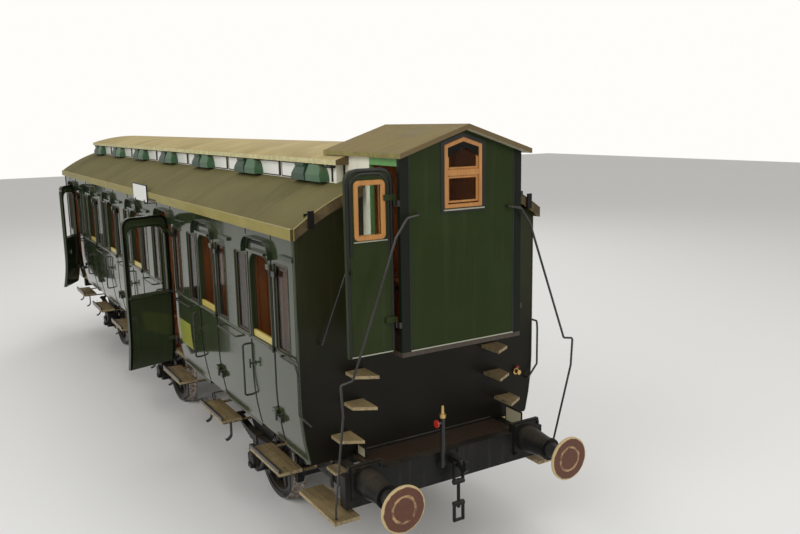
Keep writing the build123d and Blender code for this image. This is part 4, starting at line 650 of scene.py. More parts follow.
nodeFinish = {
    "side": ["lower_panels", "window_panels", "letterboards"],
    "hood": ["side_hoods"],
    "end": ["end_walls"],
    "cabinFront": ["cabin_ends"],
    "cabinSide": ["cabin_sides"],
    "vent": ["ventilators"],
    "cream": ["clerestory_walls"],
    "fascia": ["cornice"],
    "deck": ["roof_decks", "roof_ends"],
    "cabinRoof": ["cabin_roof"],
    "topRoof": ["clerestory_roof"],
    "lining": ["partitions"],
    "bench": ["benches", "cabin_seat"],
    "floorBoards": ["floor"],
    "darkSash": ["cabin_floor", "platform"],
    "step": ["footboards", "end_steps"],
    "buffer": ["buffer_heads"],
    "glass": ["panes"],
    "pipe": ["brake_pipe"],
    "rail": ["handrails", "hinge_knuckles"],
    "black": ["underframe", "headstocks", "axle_guards", "axleboxes", "springs", "buffer_casings", "drawhooks",
              "brake_gear", "tanks", "couplings", "brake_stand", "axle_1", "axle_2", "axle_3"],
}


def paintNode(name, material):
    mesh = nodes[name].data
    mesh.materials.clear()
    mesh.materials.append(material)


def paintNodes():
    # a door leaf's paint depends on which way its outer side looks: (-side sin turn, side cos turn)
    for finish, names in nodeFinish.items():
        for name in names:
            paintNode(name, finishes[finish])
    for number, axleX in enumerate(coach["axleXs"], 1):
        paintNode(f"wheels_{number}", wheelMaterial(f"wheelPaint{number}", axleX))
    leafPaint = {}
    for sideName, side in coach["sides"].items():
        for number in range(1, len(coach["doorXs"]) + 1):
            turn = math.radians(coach["openDoors"].get((sideName, number), 0))
            out = (-side * math.sin(turn), side * math.cos(turn))
            if out not in leafPaint:
                leafPaint[out] = linedMaterial(f"doorPaint{len(leafPaint)}", "body", leafInside(*out), 0.42)
            paintNode(f"door_{sideName}{number}", leafPaint[out])
    for name, out in (("cabin_door_a", (1.0, 0.0)), ("cabin_door_b", (0.0, 1.0))):
        paintNode(name, linedMaterial(name + "Paint", "cabin", leafInside(*out), 0.0, None, 0.15))


paintNodes()
print("nodes painted")


def gridFaces(rows, columns, wrapRows=False, wrapColumns=False):
    # quads between neighbours of a rows x columns grid of points
    r, c = np.meshgrid(np.arange(rows if wrapRows else rows - 1),
                       np.arange(columns if wrapColumns else columns - 1), indexing="ij")
    r2, c2 = (r + 1) % rows, (c + 1) % columns
    return np.stack([r * columns + c, r2 * columns + c, r2 * columns + c2, r * columns + c2], -1).reshape(-1, 4)


def newBatches(count):
    # each collects the points and faces of one piece
    return [{"points": [], "faces": [], "count": 0} for kind in range(count)]


def addTo(batch, points, faces):
    points = np.asarray(points, float).reshape(-1, 3)
    batch["points"].append(points)
    batch["faces"] += [[index + batch["count"] for index in face] for face in faces]
    batch["count"] += len(points)


def sweep(batch, path, out, profile, closed=False):
    # carries a profile (across, out) along a path; side = out x tangent, widened at the mitres:
    # point(i, j) = path_i + across_j * side_i * mitre_i + out_j * out_i
    path = np.asarray(path, float)
    out = np.broadcast_to(np.asarray(out, float), path.shape)
    after = np.roll(path, -1, 0) - path
    if not closed:
        after[-1] = after[-2]
    after /= np.linalg.norm(after, axis=1, keepdims=True)
    before = np.roll(after, 1, 0)
    if not closed:
        before[0] = after[0]
    tangent = after + before
    tangent /= np.linalg.norm(tangent, axis=1, keepdims=True)
    side = np.cross(out, tangent)
    mitre = 1 / np.maximum(np.sum(tangent * after, axis=1), 0.4)
    profile = np.asarray(profile, float)
    points = (path[:, None] + profile[None, :, :1] * (side * mitre[:, None])[:, None]
              + profile[None, :, 1:] * out[:, None])
    count = len(profile)
    faces = gridFaces(len(path), count, closed, True).tolist()
    if not closed:
        faces += [list(range(count)), [(len(path) - 1) * count + j for j in range(count)]]
    addTo(batch, points, faces)


def slab(batch, loop, lift):
    # a flat sheet with the outline loop, lift thick
    count = len(loop)
    ends = [list(range(count)), list(range(count, 2 * count))]
    addTo(batch, np.stack([loop, np.add(loop, lift)]), gridFaces(2, count, False, True).tolist() + ends)


def halfRound(width, height, steps=6):
    # (width/2 cos a, height sin a) for a from 0 to pi, on a flat foot
    a = np.linspace(0, math.pi, steps + 1)
    return np.stack([width / 2 * np.cos(a), height * np.sin(a)], -1)


def bevelled(width, high, bevel, low=-0.001):
    # rectangle from low, a little way into its seat, to high, its two outer corners cut by bevel
    half = width / 2
    return np.array([(half, low), (half, high - bevel), (half - bevel, high), (bevel - half, high),
                     (-half, high - bevel), (-half, low)])


def circle(radius, steps):
    a = np.arange(steps) * 2 * math.pi / steps
    return np.stack([radius * np.cos(a), radius * np.sin(a)], -1)


def roundedLoop(width, height, radius, steps=5):
    # four quarter circles, counter-clockwise: corner + radius (cos a, sin a)
    a = np.linspace(0, math.pi / 2, steps + 1)
    return np.concatenate([
        np.stack([sx * (width / 2 - radius) + radius * np.cos(a + k * math.pi / 2),
                  sz * (height / 2 - radius) + radius * np.sin(a + k * math.pi / 2)], -1)
        for k, (sx, sz) in enumerate(((1, 1), (-1, 1), (-1, -1), (1, -1)))])


def archLine(width, foot, top, radius, steps=8):
    # up one jamb, round two quarter circles, down the other
    a = np.linspace(0, math.pi / 2, steps + 1)
    right = np.stack([width / 2 - radius + radius * np.cos(a), top - radius + radius * np.sin(a)], -1)
    left = right[::-1] * (-1, 1)
    return np.concatenate([[(width / 2, foot)], right, left, [(-width / 2, foot)]])


def stamp(batch, form, places, outs):
    # repeats a small form, whose z is out, at places with the directions outs
    points, faces = np.asarray(form[0], float), form[1]
    places = np.asarray(places, float)
    outs = np.broadcast_to(np.asarray(outs, float), places.shape)
    helper = np.where(np.abs(outs[:, 2:]) > 0.9, (1.0, 0, 0), (0, 0, 1.0))
    first = np.cross(helper, outs)
    first /= np.linalg.norm(first, axis=1, keepdims=True)
    second = np.cross(outs, first)
    made = (places[:, None] + points[None, :, :1] * first[:, None] + points[None, :, 1:2] * second[:, None]
            + points[None, :, 2:] * outs[:, None])
    for shape in made:
        addTo(batch, shape, faces)


def domeForm(radius, height, rings=3, steps=8):
    # ring k at angle b: (radius cos b, height sin b), closed by a pole and a foot
    b = np.linspace(0, math.pi / 2, rings, endpoint=False)
    a = np.arange(steps) * 2 * math.pi / steps
    body = np.stack([radius * np.cos(b)[:, None] * np.cos(a), radius * np.cos(b)[:, None] * np.sin(a),
                     np.broadcast_to((height * np.sin(b))[:, None], (rings, steps))], -1).reshape(-1, 3)
    faces = gridFaces(rings, steps, False, True).tolist()
    top = len(body)
    faces += [[(rings - 1) * steps + j, (rings - 1) * steps + (j + 1) % steps, top] for j in range(steps)]
    faces.append(list(range(steps)))
    return np.concatenate([body, [(0, 0, height)]]), faces


def turnedForm(outline, steps=16):
    # a lathe shape: every (radius, height) of the outline goes round once, with flat ends
    outline = np.asarray(outline, float)
    a = np.arange(steps) * 2 * math.pi / steps
    body = np.stack([outline[:, :1] * np.cos(a), outline[:, :1] * np.sin(a),
                     np.broadcast_to(outline[:, 1:], (len(outline), steps))], -1).reshape(-1, 3)
    last = (len(outline) - 1) * steps
    faces = gridFaces(len(outline), steps, False, True).tolist()
    return body, faces + [list(range(steps)), list(range(last, last + steps))]


def nutForm(radius, height):
    # six-sided nut with a chamfered head, and the bolt's end above it
    return turnedForm([(radius, 0), (radius, 0.85 * height), (0.86 * radius, height), (0.5 * radius, height),
                       (0.5 * radius, 1.35 * height)], 6)


sharpDegrees = 38  # an edge that turns more stays sharp


def makePieces(body, rows, prefix=""):
    # each row's batch becomes a mesh that rides on the body: name, batch, finish, slot
    for name, batch, finish, slot in rows:
        mesh = bpy.data.meshes.new(prefix + name)
        mesh.from_pydata(np.concatenate(batch["points"]).tolist(), [], batch["faces"])
        shell = bmesh.new()
        shell.from_mesh(mesh)
        bmesh.ops.recalc_face_normals(shell, faces=shell.faces)
        shell.to_mesh(mesh)
        shell.free()
        mesh.polygons.foreach_set("use_smooth", [True] * len(mesh.polygons))
        mesh.set_sharp_from_angle(angle=math.radians(sharpDegrees))
        mesh.materials.append(finishes[finish])
        piece = bpy.data.objects.new(prefix + name, mesh)
        scene.collection.objects.link(piece)
        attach(piece, body)


def sideY(z):
    # upright above the tuck, below it an arc of radius (h^2 + t^2) / 2t
    height, inward = coach["tuckZ"] - coach["sillZ"], coach["tuckIn"]
    radius = (height ** 2 + inward ** 2) / (2 * inward)
    drop = np.maximum(coach["tuckZ"] - np.asarray(z, float), 0)
    return coach["halfWidth"] - radius + np.sqrt(radius ** 2 - drop ** 2)


def onSide(xz, side):
    # points (x, z) on a side's outer face, and the directions out
    xz = np.asarray(xz, float)
    slope = (sideY(xz[:, 1] + 0.001) - sideY(xz[:, 1] - 0.001)) / 0.002
    out = np.stack([np.zeros(len(xz)), np.full(len(xz), float(side)), -slope], -1)
    out /= np.linalg.norm(out, axis=1, keepdims=True)
    return np.stack([xz[:, 0], side * sideY(xz[:, 1]), xz[:, 1]], -1), out


def upright(xz, y):
    # points (x, z) on an upright plane along the coach
    xz = np.asarray(xz, float)
    return np.stack([xz[:, 0], np.full(len(xz), float(y)), xz[:, 1]], -1)


def across(yz, x):
    # points (y, z) on an upright plane across the coach
    yz = np.asarray(yz, float)
    return np.stack([np.full(len(yz), float(x)), yz[:, 0], yz[:, 1]], -1)


def followSide(batch, xz, side, profile):
    sweep(batch, *onSide(xz, side), profile)


def onWall(batch, xz, y, facing, profile, closed=False):
    # a sweep on the upright plane at y, standing out towards facing, -1 or 1
    sweep(batch, upright(xz, y), (0, facing, 0), profile, closed)


def onFront(batch, yz, x, profile, closed=False):
    # a sweep on the plane across the coach at x, standing out towards the near end
    sweep(batch, across(yz, x), (1, 0, 0), profile, closed)


def level(x0, x1, z):
    return [(x0, z), (x1, z)]


def turnAbout(batches, pivot, degrees):
    # (dx, dy) -> (dx cos a - dy sin a, dx sin a + dy cos a) about an upright line
    a = math.radians(degrees)
    turn = np.array([[math.cos(a), math.sin(a)], [-math.sin(a), math.cos(a)]])
    for batch in batches:
        for points in batch["points"]:
            points[:, :2] = (points[:, :2] - pivot) @ turn + pivot


# wooden sashes in the side windows, near black, partly as painted shade of deep reveals, thin mouldings round them;
# here and below a section is a width, a height, a bevel and how deep its foot goes
sideWindow = {
    "shift": 0.496,
    "width": 0.30,
    "low": 2.075,
    "high": 2.86,
    "corner": 0.02,
    "sashIn": 0.020,
    "sash": (0.022, 0.010, 0.004, 0.0008),
    "innerGrow": 0.01,
    "inner": (0.036, 0.010, 0.005),
    "mouldCorner": 0.027,
    "mould": (0.014, 0.006),
}


def makeSideWindows():
    # each loop is the opening's rounded rectangle, grown or shrunk by a step
    w = sideWindow
    sashes, mouldings = newBatches(2)
    middle, height = (w["low"] + w["high"]) / 2, w["high"] - w["low"]
    front, back = coach["halfWidth"] - w["sashIn"], coach["halfWidth"] - coach["wallThick"]

    def loop(grow, corner):
        return roundedLoop(w["width"] + grow, height + grow, corner, 3)

    for side in coach["sides"].values():
        for x in coach["doorXs"]:
            for hand in (-1, 1):
                at = (x + hand * w["shift"], middle)
                onWall(sashes, loop(-w["sash"][0], w["corner"]) + at, side * front, side, bevelled(*w["sash"]), True)
                onWall(sashes, loop(w["innerGrow"], w["corner"]) + at, side * back, -side, bevelled(*w["inner"]), True)
                onWall(mouldings, loop(w["mould"][0], w["mouldCorner"]) + at, side * coach["halfWidth"], side,
                       halfRound(*w["mould"]), True)
    makePieces("coach_body", [("sideWindowSashes", sashes, "darkSash", "varnished_wood"),
                              ("sideWindowMouldings", mouldings, "trim", "body_green")])


makeSideWindows()

# ledge at the waist, sill bead, and strips on the letterboard at the door edges
sideBead = {
    "waistZ": 2.052,
    "waist": (0.026, 0.013),
    "sillZ": 1.135,
    "sill": (0.028, 0.008),
    "strip": (0.014, 0.006, 4),
    "letterZs": (3.052, 3.165),
    "doorClear": 0.309,
    "endClear": 0.004,
    "cornerX": 5.546,
    "corner": (0.022, 0.009),
    "cornerLean": 0.7,
    "cornerEnds": (0.02, 0.03),
    "cornerSteps": 12,
}


def makeSideBeads():
    # half-round beads along the panels between the doors, and up the body's four corners
    b = sideBead
    beads, = newBatches(1)
    xs, clear, lean = coach["doorXs"], b["doorClear"], b["cornerLean"]
    stops = [coach["bodyHalf"] - b["endClear"]]
    for x in xs:
        stops += [x + clear, x - clear]
    stops.append(b["endClear"] - coach["bodyHalf"])
    foot, head = b["cornerEnds"]
    cornerZ = np.linspace(coach["sillZ"] + foot, coach["eaveZ"] - head, b["cornerSteps"])
    for side in coach["sides"].values():
        for x0, x1 in zip(stops[::2], stops[1::2]):
            followSide(beads, level(x0, x1, b["waistZ"]), side, halfRound(*b["waist"]))
            followSide(beads, level(x0, x1, b["sillZ"]), side, halfRound(*b["sill"]))
        for x in xs:
            for edge in (x - clear, x + clear):
                followSide(beads, [(edge, z) for z in b["letterZs"]], side, halfRound(*b["strip"]))
        for end in (-1, 1):
            line, out = onSide([(end * b["cornerX"], z) for z in cornerZ], side)
            out = out * (1, lean, lean) + (end * lean, 0, 0)
            sweep(beads, line, out / np.linalg.norm(out, axis=1, keepdims=True), halfRound(*b["corner"]))
    makePieces("coach_body", [("sideBeads", beads, "trim", "body_green")])


makeSideBeads()

# mouldings, waist ledge, dark edges and stile strips, sash rail, handle rose and middle hinge of every side door; the
# near-black edge band is the dark gap widened with painted shade, the stile strips painted dark reflection;
# window and edge: width, low, top and corner; stile: out from the middle, low and top
doorTrim = {
    "window": (0.48, 2.075, 2.885, 0.13),
    "mould": (0.016, 0.007),
    "inner": (0.030, 0.010, 0.004),
    "beadHalf": 0.293,
    "edge": (0.572, 1.176, 2.996, 0.104),
    "edgeSection": (0.028, 0.003, 0.001),
    "tuckSteps": 6,
    "stile": (0.260, 2.09, 2.78),
    "stileSection": (0.014, 0.003, 0.001),
    "railClear": 0.001,
    "railSection": (0.066, 0.012, 0.006, -0.012),
    "roseAt": (0.225, 1.81),
    "rose": ((0.030, -0.004), (0.030, 0.004), (0.024, 0.008)),
    "hingeZ": 2.064,
    "hingeHalf": 0.022,
    "strap": (0.004, 0.090),
    "strapSection": (0.030, 0.006, 0.003, -0.024),
    "pin": (0.011, 10),
    "boltZs": (1.474, 2.814),
    "boltSteps": (0.03, 0.07),
    "boltOut": (0.008, 0.006),
    "bolt": (0.007, 0.004, 2, 6),
}


def makeDoorTrim(name, x, side, turn):
    # everything is made on the closed door and then turned about the hinge with it
    d = doorTrim
    hingeX, hingeY, hingeZ = x - side * coach["doorEdge"], side * coach["hingeY"], d["hingeZ"]
    trim, lining, rail, iron, edges = batches = newBatches(5)
    face = side * coach["halfWidth"]
    width, low, top, corner = d["window"]
    grow = d["mould"][0] / 2
    loop = archLine(width + 2 * grow, low - grow, top + grow, corner + grow) + (x, 0)
    onWall(trim, loop, face, side, halfRound(*d["mould"]), True)
    onWall(lining, loop, side * (coach["halfWidth"] - coach["wallThick"]), -side, bevelled(*d["inner"]), True)
    followSide(trim, level(x - d["beadHalf"], x + d["beadHalf"], sideBead["waistZ"]), side,
               halfRound(*sideBead["waist"]))
    half = width / 2 - d["railClear"]
    railPath = upright(level(x - half, x + half, low + d["railSection"][0] / 2),
                       side * (coach["halfWidth"] - coach["wallThick"] / 2))
    sweep(rail, railPath, (0, side, 0), bevelled(*d["railSection"]))
    # near-black band round the door: its dark gap, widened with painted shade
    width, low, top, corner = d["edge"]
    tuck = np.linspace(low, coach["tuckZ"], d["tuckSteps"], endpoint=False)
    jamb = np.stack([np.full(d["tuckSteps"], width / 2), tuck], -1)
    outline = np.concatenate([jamb, archLine(width, coach["tuckZ"], top, corner), jamb[::-1] * (-1, 1)]) + (x, 0)
    followSide(edges, outline, side, bevelled(*d["edgeSection"]))
    # near-black strips up both stiles: painted dark reflection, no gap is there
    reach, low, top = d["stile"]
    for hand in (-1, 1):
        followSide(edges, [(x + hand * reach, z) for z in (low, top)], side, bevelled(*d["stileSection"]))
    strap = level(*[hingeX + side * step for step in d["strap"]], hingeZ)
    onWall(iron, strap, hingeY, side, bevelled(*d["strapSection"]))
    pin = [(hingeX, hingeZ - d["hingeHalf"]), (hingeX, hingeZ + d["hingeHalf"])]
    onWall(iron, pin, hingeY, side, circle(*d["pin"]))
    plate, thin = d["boltOut"]
    bolts = [(hingeX + side * step, hingeY + side * plate, z) for z in d["boltZs"] for step in d["boltSteps"]]
    bolts += [(hingeX + side * step, hingeY + side * thin, hingeZ) for step in d["boltSteps"]]
    stamp(iron, domeForm(*d["bolt"]), bolts, (0, side, 0))
    roseX, roseZ = d["roseAt"]
    stamp(iron, turnedForm(d["rose"]), [(x + side * roseX, face, roseZ)], (0, side, 0))
    if turn:
        turnAbout(batches, (hingeX, hingeY), turn)
    rows = [(".trim", trim, "trim", "body_green"), (".edges", edges, "darkGapAndShade", "body_green"),
            (".lining", lining, "darkSash", "varnished_wood"), (".sashRail", rail, "sashRail", "varnished_wood"),
            (".iron", iron, "rail", "black_paint")]
    if turn:  # no sash rail shows in the open doors
        del rows[3]
    makePieces(name, rows, name)


for sideName, side in coach["sides"].items():
    for number, x in enumerate(coach["doorXs"], 1):
        makeDoorTrim(f"door_{sideName}{number}", x, side, coach["openDoors"].get((sideName, number), 0))
print("doors dressed")

# thin dark frames round the clerestory's panes, posts between them, blocks at the eaves' ends
topLight = {
    "wallY": 0.69,
    "paneHalf": 0.35,
    "paneShift": 0.395,
    "paneZ": 3.617,
    "paneHeight": 0.13,
    "lastX": 5.18,
    "frame": (0.012, 0.004, 0.002),
    "paintedGlow": (0.134, 0.0012, 0.0005, -0.0035),
    "postZs": (3.545, 3.698),
    "post": (0.020, 0.012, 0.004),
    "endPostX": 5.13,
    "blockXs": (5.10, 5.19),
    "blockZ": 3.684,
    "blockOut": 0.032,
    "block": (0.030, 0.022, 0.004, -0.031),
}


def makeTopLights():
    # per pane a frame and a near-white strip of painted glow, standing in for light shining through the milky pane;
    # posts half way between the doors and at the ends
    t = topLight
    dark, paintedGlow = newBatches(2)
    grow, reach = t["frame"][0] / 2, t["paneHalf"] + t["frame"][0] / 2
    low, high = t["paneZ"] - t["paneHeight"] / 2 - grow, t["paneZ"] + t["paneHeight"] / 2 + grow
    for side in coach["sides"].values():
        y = side * t["wallY"]
        for x in coach["doorXs"]:
            for middle in (x - t["paneShift"], x + t["paneShift"]):
                if abs(middle) + t["paneHalf"] < t["lastX"]:
                    left, right = middle - reach, middle + reach
                    onWall(dark, [(left, low), (right, low), (right, high), (left, high)], y, side,
                           bevelled(*t["frame"]), True)
                    # painted glow: an opaque near-white strip across the pane
                    onWall(paintedGlow, level(left, right, t["paneZ"]), y, side, bevelled(*t["paintedGlow"]))
        for x in [x - coach["pitch"] / 2 for x in coach["doorXs"][:-1]] + [t["endPostX"], -t["endPostX"]]:
            onWall(dark, [(x, z) for z in t["postZs"]], y, side, bevelled(*t["post"]))
        for end in (-1, 1):
            onWall(dark, [(end * x, t["blockZ"]) for x in t["blockXs"]], y + side * t["blockOut"], side,
                   bevelled(*t["block"]))
    makePieces("coach_body", [("clerestoryFrames", dark, "darkTrim", "cream_paint"),
                              ("clerestoryOpal", paintedGlow, "paintedGlow", "window_glass")])


makeTopLights()
print("clerestory dressed")

# brakeman's cabin: front window, posts and strips
cabin = {
    "frontX": 6.160,
    "frameOuter": 0.191,
    "frame": (0.034, 0.010, 0.005, -0.017),
    "frameLow": 3.352,
    "frameHigh": 3.870,
    "frameApex": 3.932,
    "openingHigh": 3.770,
    "openingPeak": 3.876,
    "shoulderShare": 0.6,
    "transomZ": 3.643,
    "transomIn": 0.01,
    "transom": (0.056, 0.007, 0.006, -0.016),
    "light": (0.018, -0.004, 0.003, -0.017),
    "lightIn": 0.009,
    "lightFoot": 0.052,
    "lightBar": 0.037,
    "lightShoulder": 0.045,
    "lightPeak": 0.054,
    "shadeSheetDrop": 0.02,
    "shadeSheetRise": 0.01,
    "shadeSheetX": (-0.001, 0.0025),
    "surroundGrow": 0.019,
    "surround": (0.040, 0.005, 0.003),
    "sillHalf": 0.206,
    "sillDrop": 0.012,
    "sill": (0.012, 0.022, 0.003),
    "stripZ": 2.196,
    "stripY": 0.534,
    "postZs": (2.202, 3.745),
    "foot": (0.010, 0.006, 0.002),
    "post": (0.014, 0.005),
}


def makeCabinWindow():
    # a pointed frame, its transom and two lights, in the cabin's front
    c = cabin
    frameBatch, sashBatch, strips, surround, dark = newBatches(5)
    x, outer, low, high, apex, bar = [c[key] for key in ("frontX", "frameOuter", "frameLow", "frameHigh", "frameApex",
                                                         "transomZ")]

    def pointed(reach, foot, shoulder, peak):
        return np.array([(reach, foot), (reach, shoulder), (0, peak), (-reach, shoulder), (-reach, foot)])

    def outline(grow):
        return pointed(outer + grow, low - grow, high + grow * c["shoulderShare"], apex + grow)

    onFront(frameBatch, outline(-c["frame"][0] / 2), x, bevelled(*c["frame"]), True)
    reach = outer - c["transomIn"]
    onFront(frameBatch, level(-reach, reach, bar), x, bevelled(*c["transom"]))
    inner, foot = outer - c["frame"][0] - c["lightIn"], low + c["lightFoot"]
    under, over = bar - c["lightBar"], bar + c["lightBar"]
    lowLight = [(inner, foot), (inner, under), (-inner, under), (-inner, foot)]
    for light in (lowLight, pointed(inner, over, high - c["lightShoulder"], apex - c["lightPeak"])):
        onFront(sashBatch, light, x, bevelled(*c["light"]), True)
    # near-black band round the frame: a low moulding, darkened as painted shade round the window
    onFront(surround, outline(c["surroundGrow"]), x, bevelled(*c["surround"]), True)
    for hand in (-1, 1):  # near-black sheets over the wall between the frame's head and the opening's: painted shade, standing in for the dark cabin inside seen through the pointed head
        drop, rise, (behind, thick) = c["shadeSheetDrop"], c["shadeSheetRise"], c["shadeSheetX"]
        corner = [(hand * outer, c["openingHigh"] - drop), (0, c["openingPeak"] - drop), (0, apex - rise),
                  (hand * outer, high - rise)]
        slab(dark, across(corner, x + behind), (thick, 0, 0))
        onFront(surround, [(hand * c["stripY"], z) for z in c["postZs"]], x, halfRound(*c["post"]))
    onFront(strips, level(-c["sillHalf"], c["sillHalf"], low - c["sillDrop"]), x, bevelled(*c["sill"]))
    onFront(strips, level(-c["stripY"], c["stripY"], c["stripZ"]), x, bevelled(*c["foot"]))
    makePieces("coach_body", [
        ("cabinWindowFrame", frameBatch, "sash", "varnished_wood"),
        ("cabinWindowSashes", sashBatch, "sash", "varnished_wood"),
        ("cabinStrips", strips, "strip", "cream_paint"),
        ("cabinGlazing", dark, "darkGapAndShade", "window_glass"),
        ("cabinMouldings", surround, "darkTrim", "body_green")])


makeCabinWindow()

# the cabin's doors: window frame, arches as width, top, corner, bead and foot, and strips as half length and z
cabinDoor = {
    "middleX": 5.897,
    "faceY": 0.620,
    "hinge": (6.115, 0.642),
    "frameWidth": 0.285,
    "frameZs": (3.145, 3.620),
    "frameCorner": 0.022,
    "frame": (0.040, 0.010, 0.005, -0.006),
    "leafThick": 0.036,
    "arches": ((0.346, 3.670, 0.115, 0.026, 3.02), (0.402, 3.698, 0.097, 0.031, 2.215)),
    "beadHeight": 0.009,
    "strips": ((0.1525, 3.137, (0.010, 0.016, 0.003)), (0.190, 2.205, (0.010, 0.005, 0.002))),
    "pane": (0.262, 0.470, 0.02),
    "paneIn": 0.020,
    "paneThick": 0.004,
}


def makeCabinDoorTrim(name, side, turn):
    # window frame on both faces, two arched mouldings, pane and light strips, made on the closed leaf
    c = cabinDoor
    wood, trim, glass, strips = batches = newBatches(4)
    x, face, band = c["middleX"], c["faceY"], c["frame"][0]
    low, high = c["frameZs"]
    loop = roundedLoop(c["frameWidth"] - band, high - low - band, c["frameCorner"]) + (x, (low + high) / 2)
    for y, facing in ((face, side), (face - c["leafThick"], -side)):
        onWall(wood, loop, side * y, facing, bevelled(*c["frame"]), True)
    for width, top, corner, bead, foot in c["arches"]:
        onWall(trim, archLine(width, foot, top, corner) + (x, 0), side * face, side,
               halfRound(bead, c["beadHeight"]))
    for half, z, section in c["strips"]:
        onWall(strips, level(x - half, x + half, z), side * face, side, bevelled(*section))
    pane = roundedLoop(*c["pane"]) + (x, (low + high) / 2)
    slab(glass, upright(pane, side * (face - c["paneIn"])), (0, side * c["paneThick"], 0))
    if turn:
        turnAbout(batches, (c["hinge"][0], side * c["hinge"][1]), turn)
    makePieces(name, [(".frame", wood, "sash", "varnished_wood"), (".trim", trim, "darkTrim", "body_green"),
                      (".pane", glass, "glass", "window_glass"), (".strips", strips, "strip", "cream_paint")], name)


makeCabinDoorTrim("cabin_door_a", -1, 90)
makeCabinDoorTrim("cabin_door_b", 1, 0)
print("cabin dressed")

# blank boards, a painted reflection patch and plates, and the small fittings at the near end
fittings = {
    "boardX": (0.34, 1.06),
    "boardZ": (3.085, 3.305),
    "boardY": 1.338,
    "board": (0.004, 0.003, -0.007),
    "boardEdge": (0.014, 0.006, 0.003, -0.008),
    "hookIn": 0.12,
    "hookZs": (-0.02, 0.03),
    "hookOut": (0.004, 0.012),
    "hook": (0.008, 0.012, 0.002, -0.012),
    "wallY": 1.279,
    "bracketX": (1.09, 1.44),
    "bracketY": 1.325,
    "bracketZ": 3.14,
    "bracket": (0.012, 0.012, 0.003, -0.012),
    "endX": 5.55,
    "lampX": (5.552, 5.64),
    "lampY": 1.16,
    "lampZ": (3.22, 3.36),
    "lampArm": (0.014, 0.028, 0.004, -0.028),
    "lampFoot": (0.046, 0.008, 0.002),
    "lampNut": (0.011, 0.008),
    "lampNutIn": 0.001,
    "lampNutZs": (0.035, 0.085),
    "lampFootZs": (-0.02, 0.11),
    "lampFootIn": 0.004,
    "ring": (0.085, 0.085, 0.042, 4),
    "ringWire": (0.006, 6),
    "ringAt": (2.95, -1.215, 0.995),
    "rodPath": ((2.95, -0.95, 1.04), (2.95, -1.21, 1.04)),
    "rod": (0.007, 8),
    "plates": ((0.93, (5.59, 5.83), (1.084, 1.245)), (-0.74, (5.56, 5.70), (1.132, 1.225))),
    "plate": (0.004, 0.003, -0.004),
    "plateRim": (0.012, 0.006, 0.002, -0.006),
    "patchX": (1.96, 2.43),
    "patchZ": (1.432, 1.745),
    "patchSteps": 6,
    "reflectionPatch": (0.002, 0.001),
    "tapAt": (5.55, 1.08, 1.57),
    "tap": ((0.034, -0.002), (0.034, 0.008), (0.020, 0.012), (0.017, 0.040), (0.024, 0.044), (0.024, 0.058),
            (0.014, 0.062)),
    "knobAt": (0.026, 0.0, 0.014),
    "stem": ((0.006, 0.0), (0.006, 0.030)),
    "knob": ((0.010, 0.030), (0.019, 0.033), (0.019, 0.041), (0.010, 0.044)),
    "sillHalf": 0.76,
    "sillZ": 1.152,
    "sill": (0.016, 0.010, 0.004),
}


def corners(xs, zs):
    (x0, x1), (z0, z1) = xs, zs
    return [(x0, z0), (x1, z0), (x1, z1), (x0, z1)]


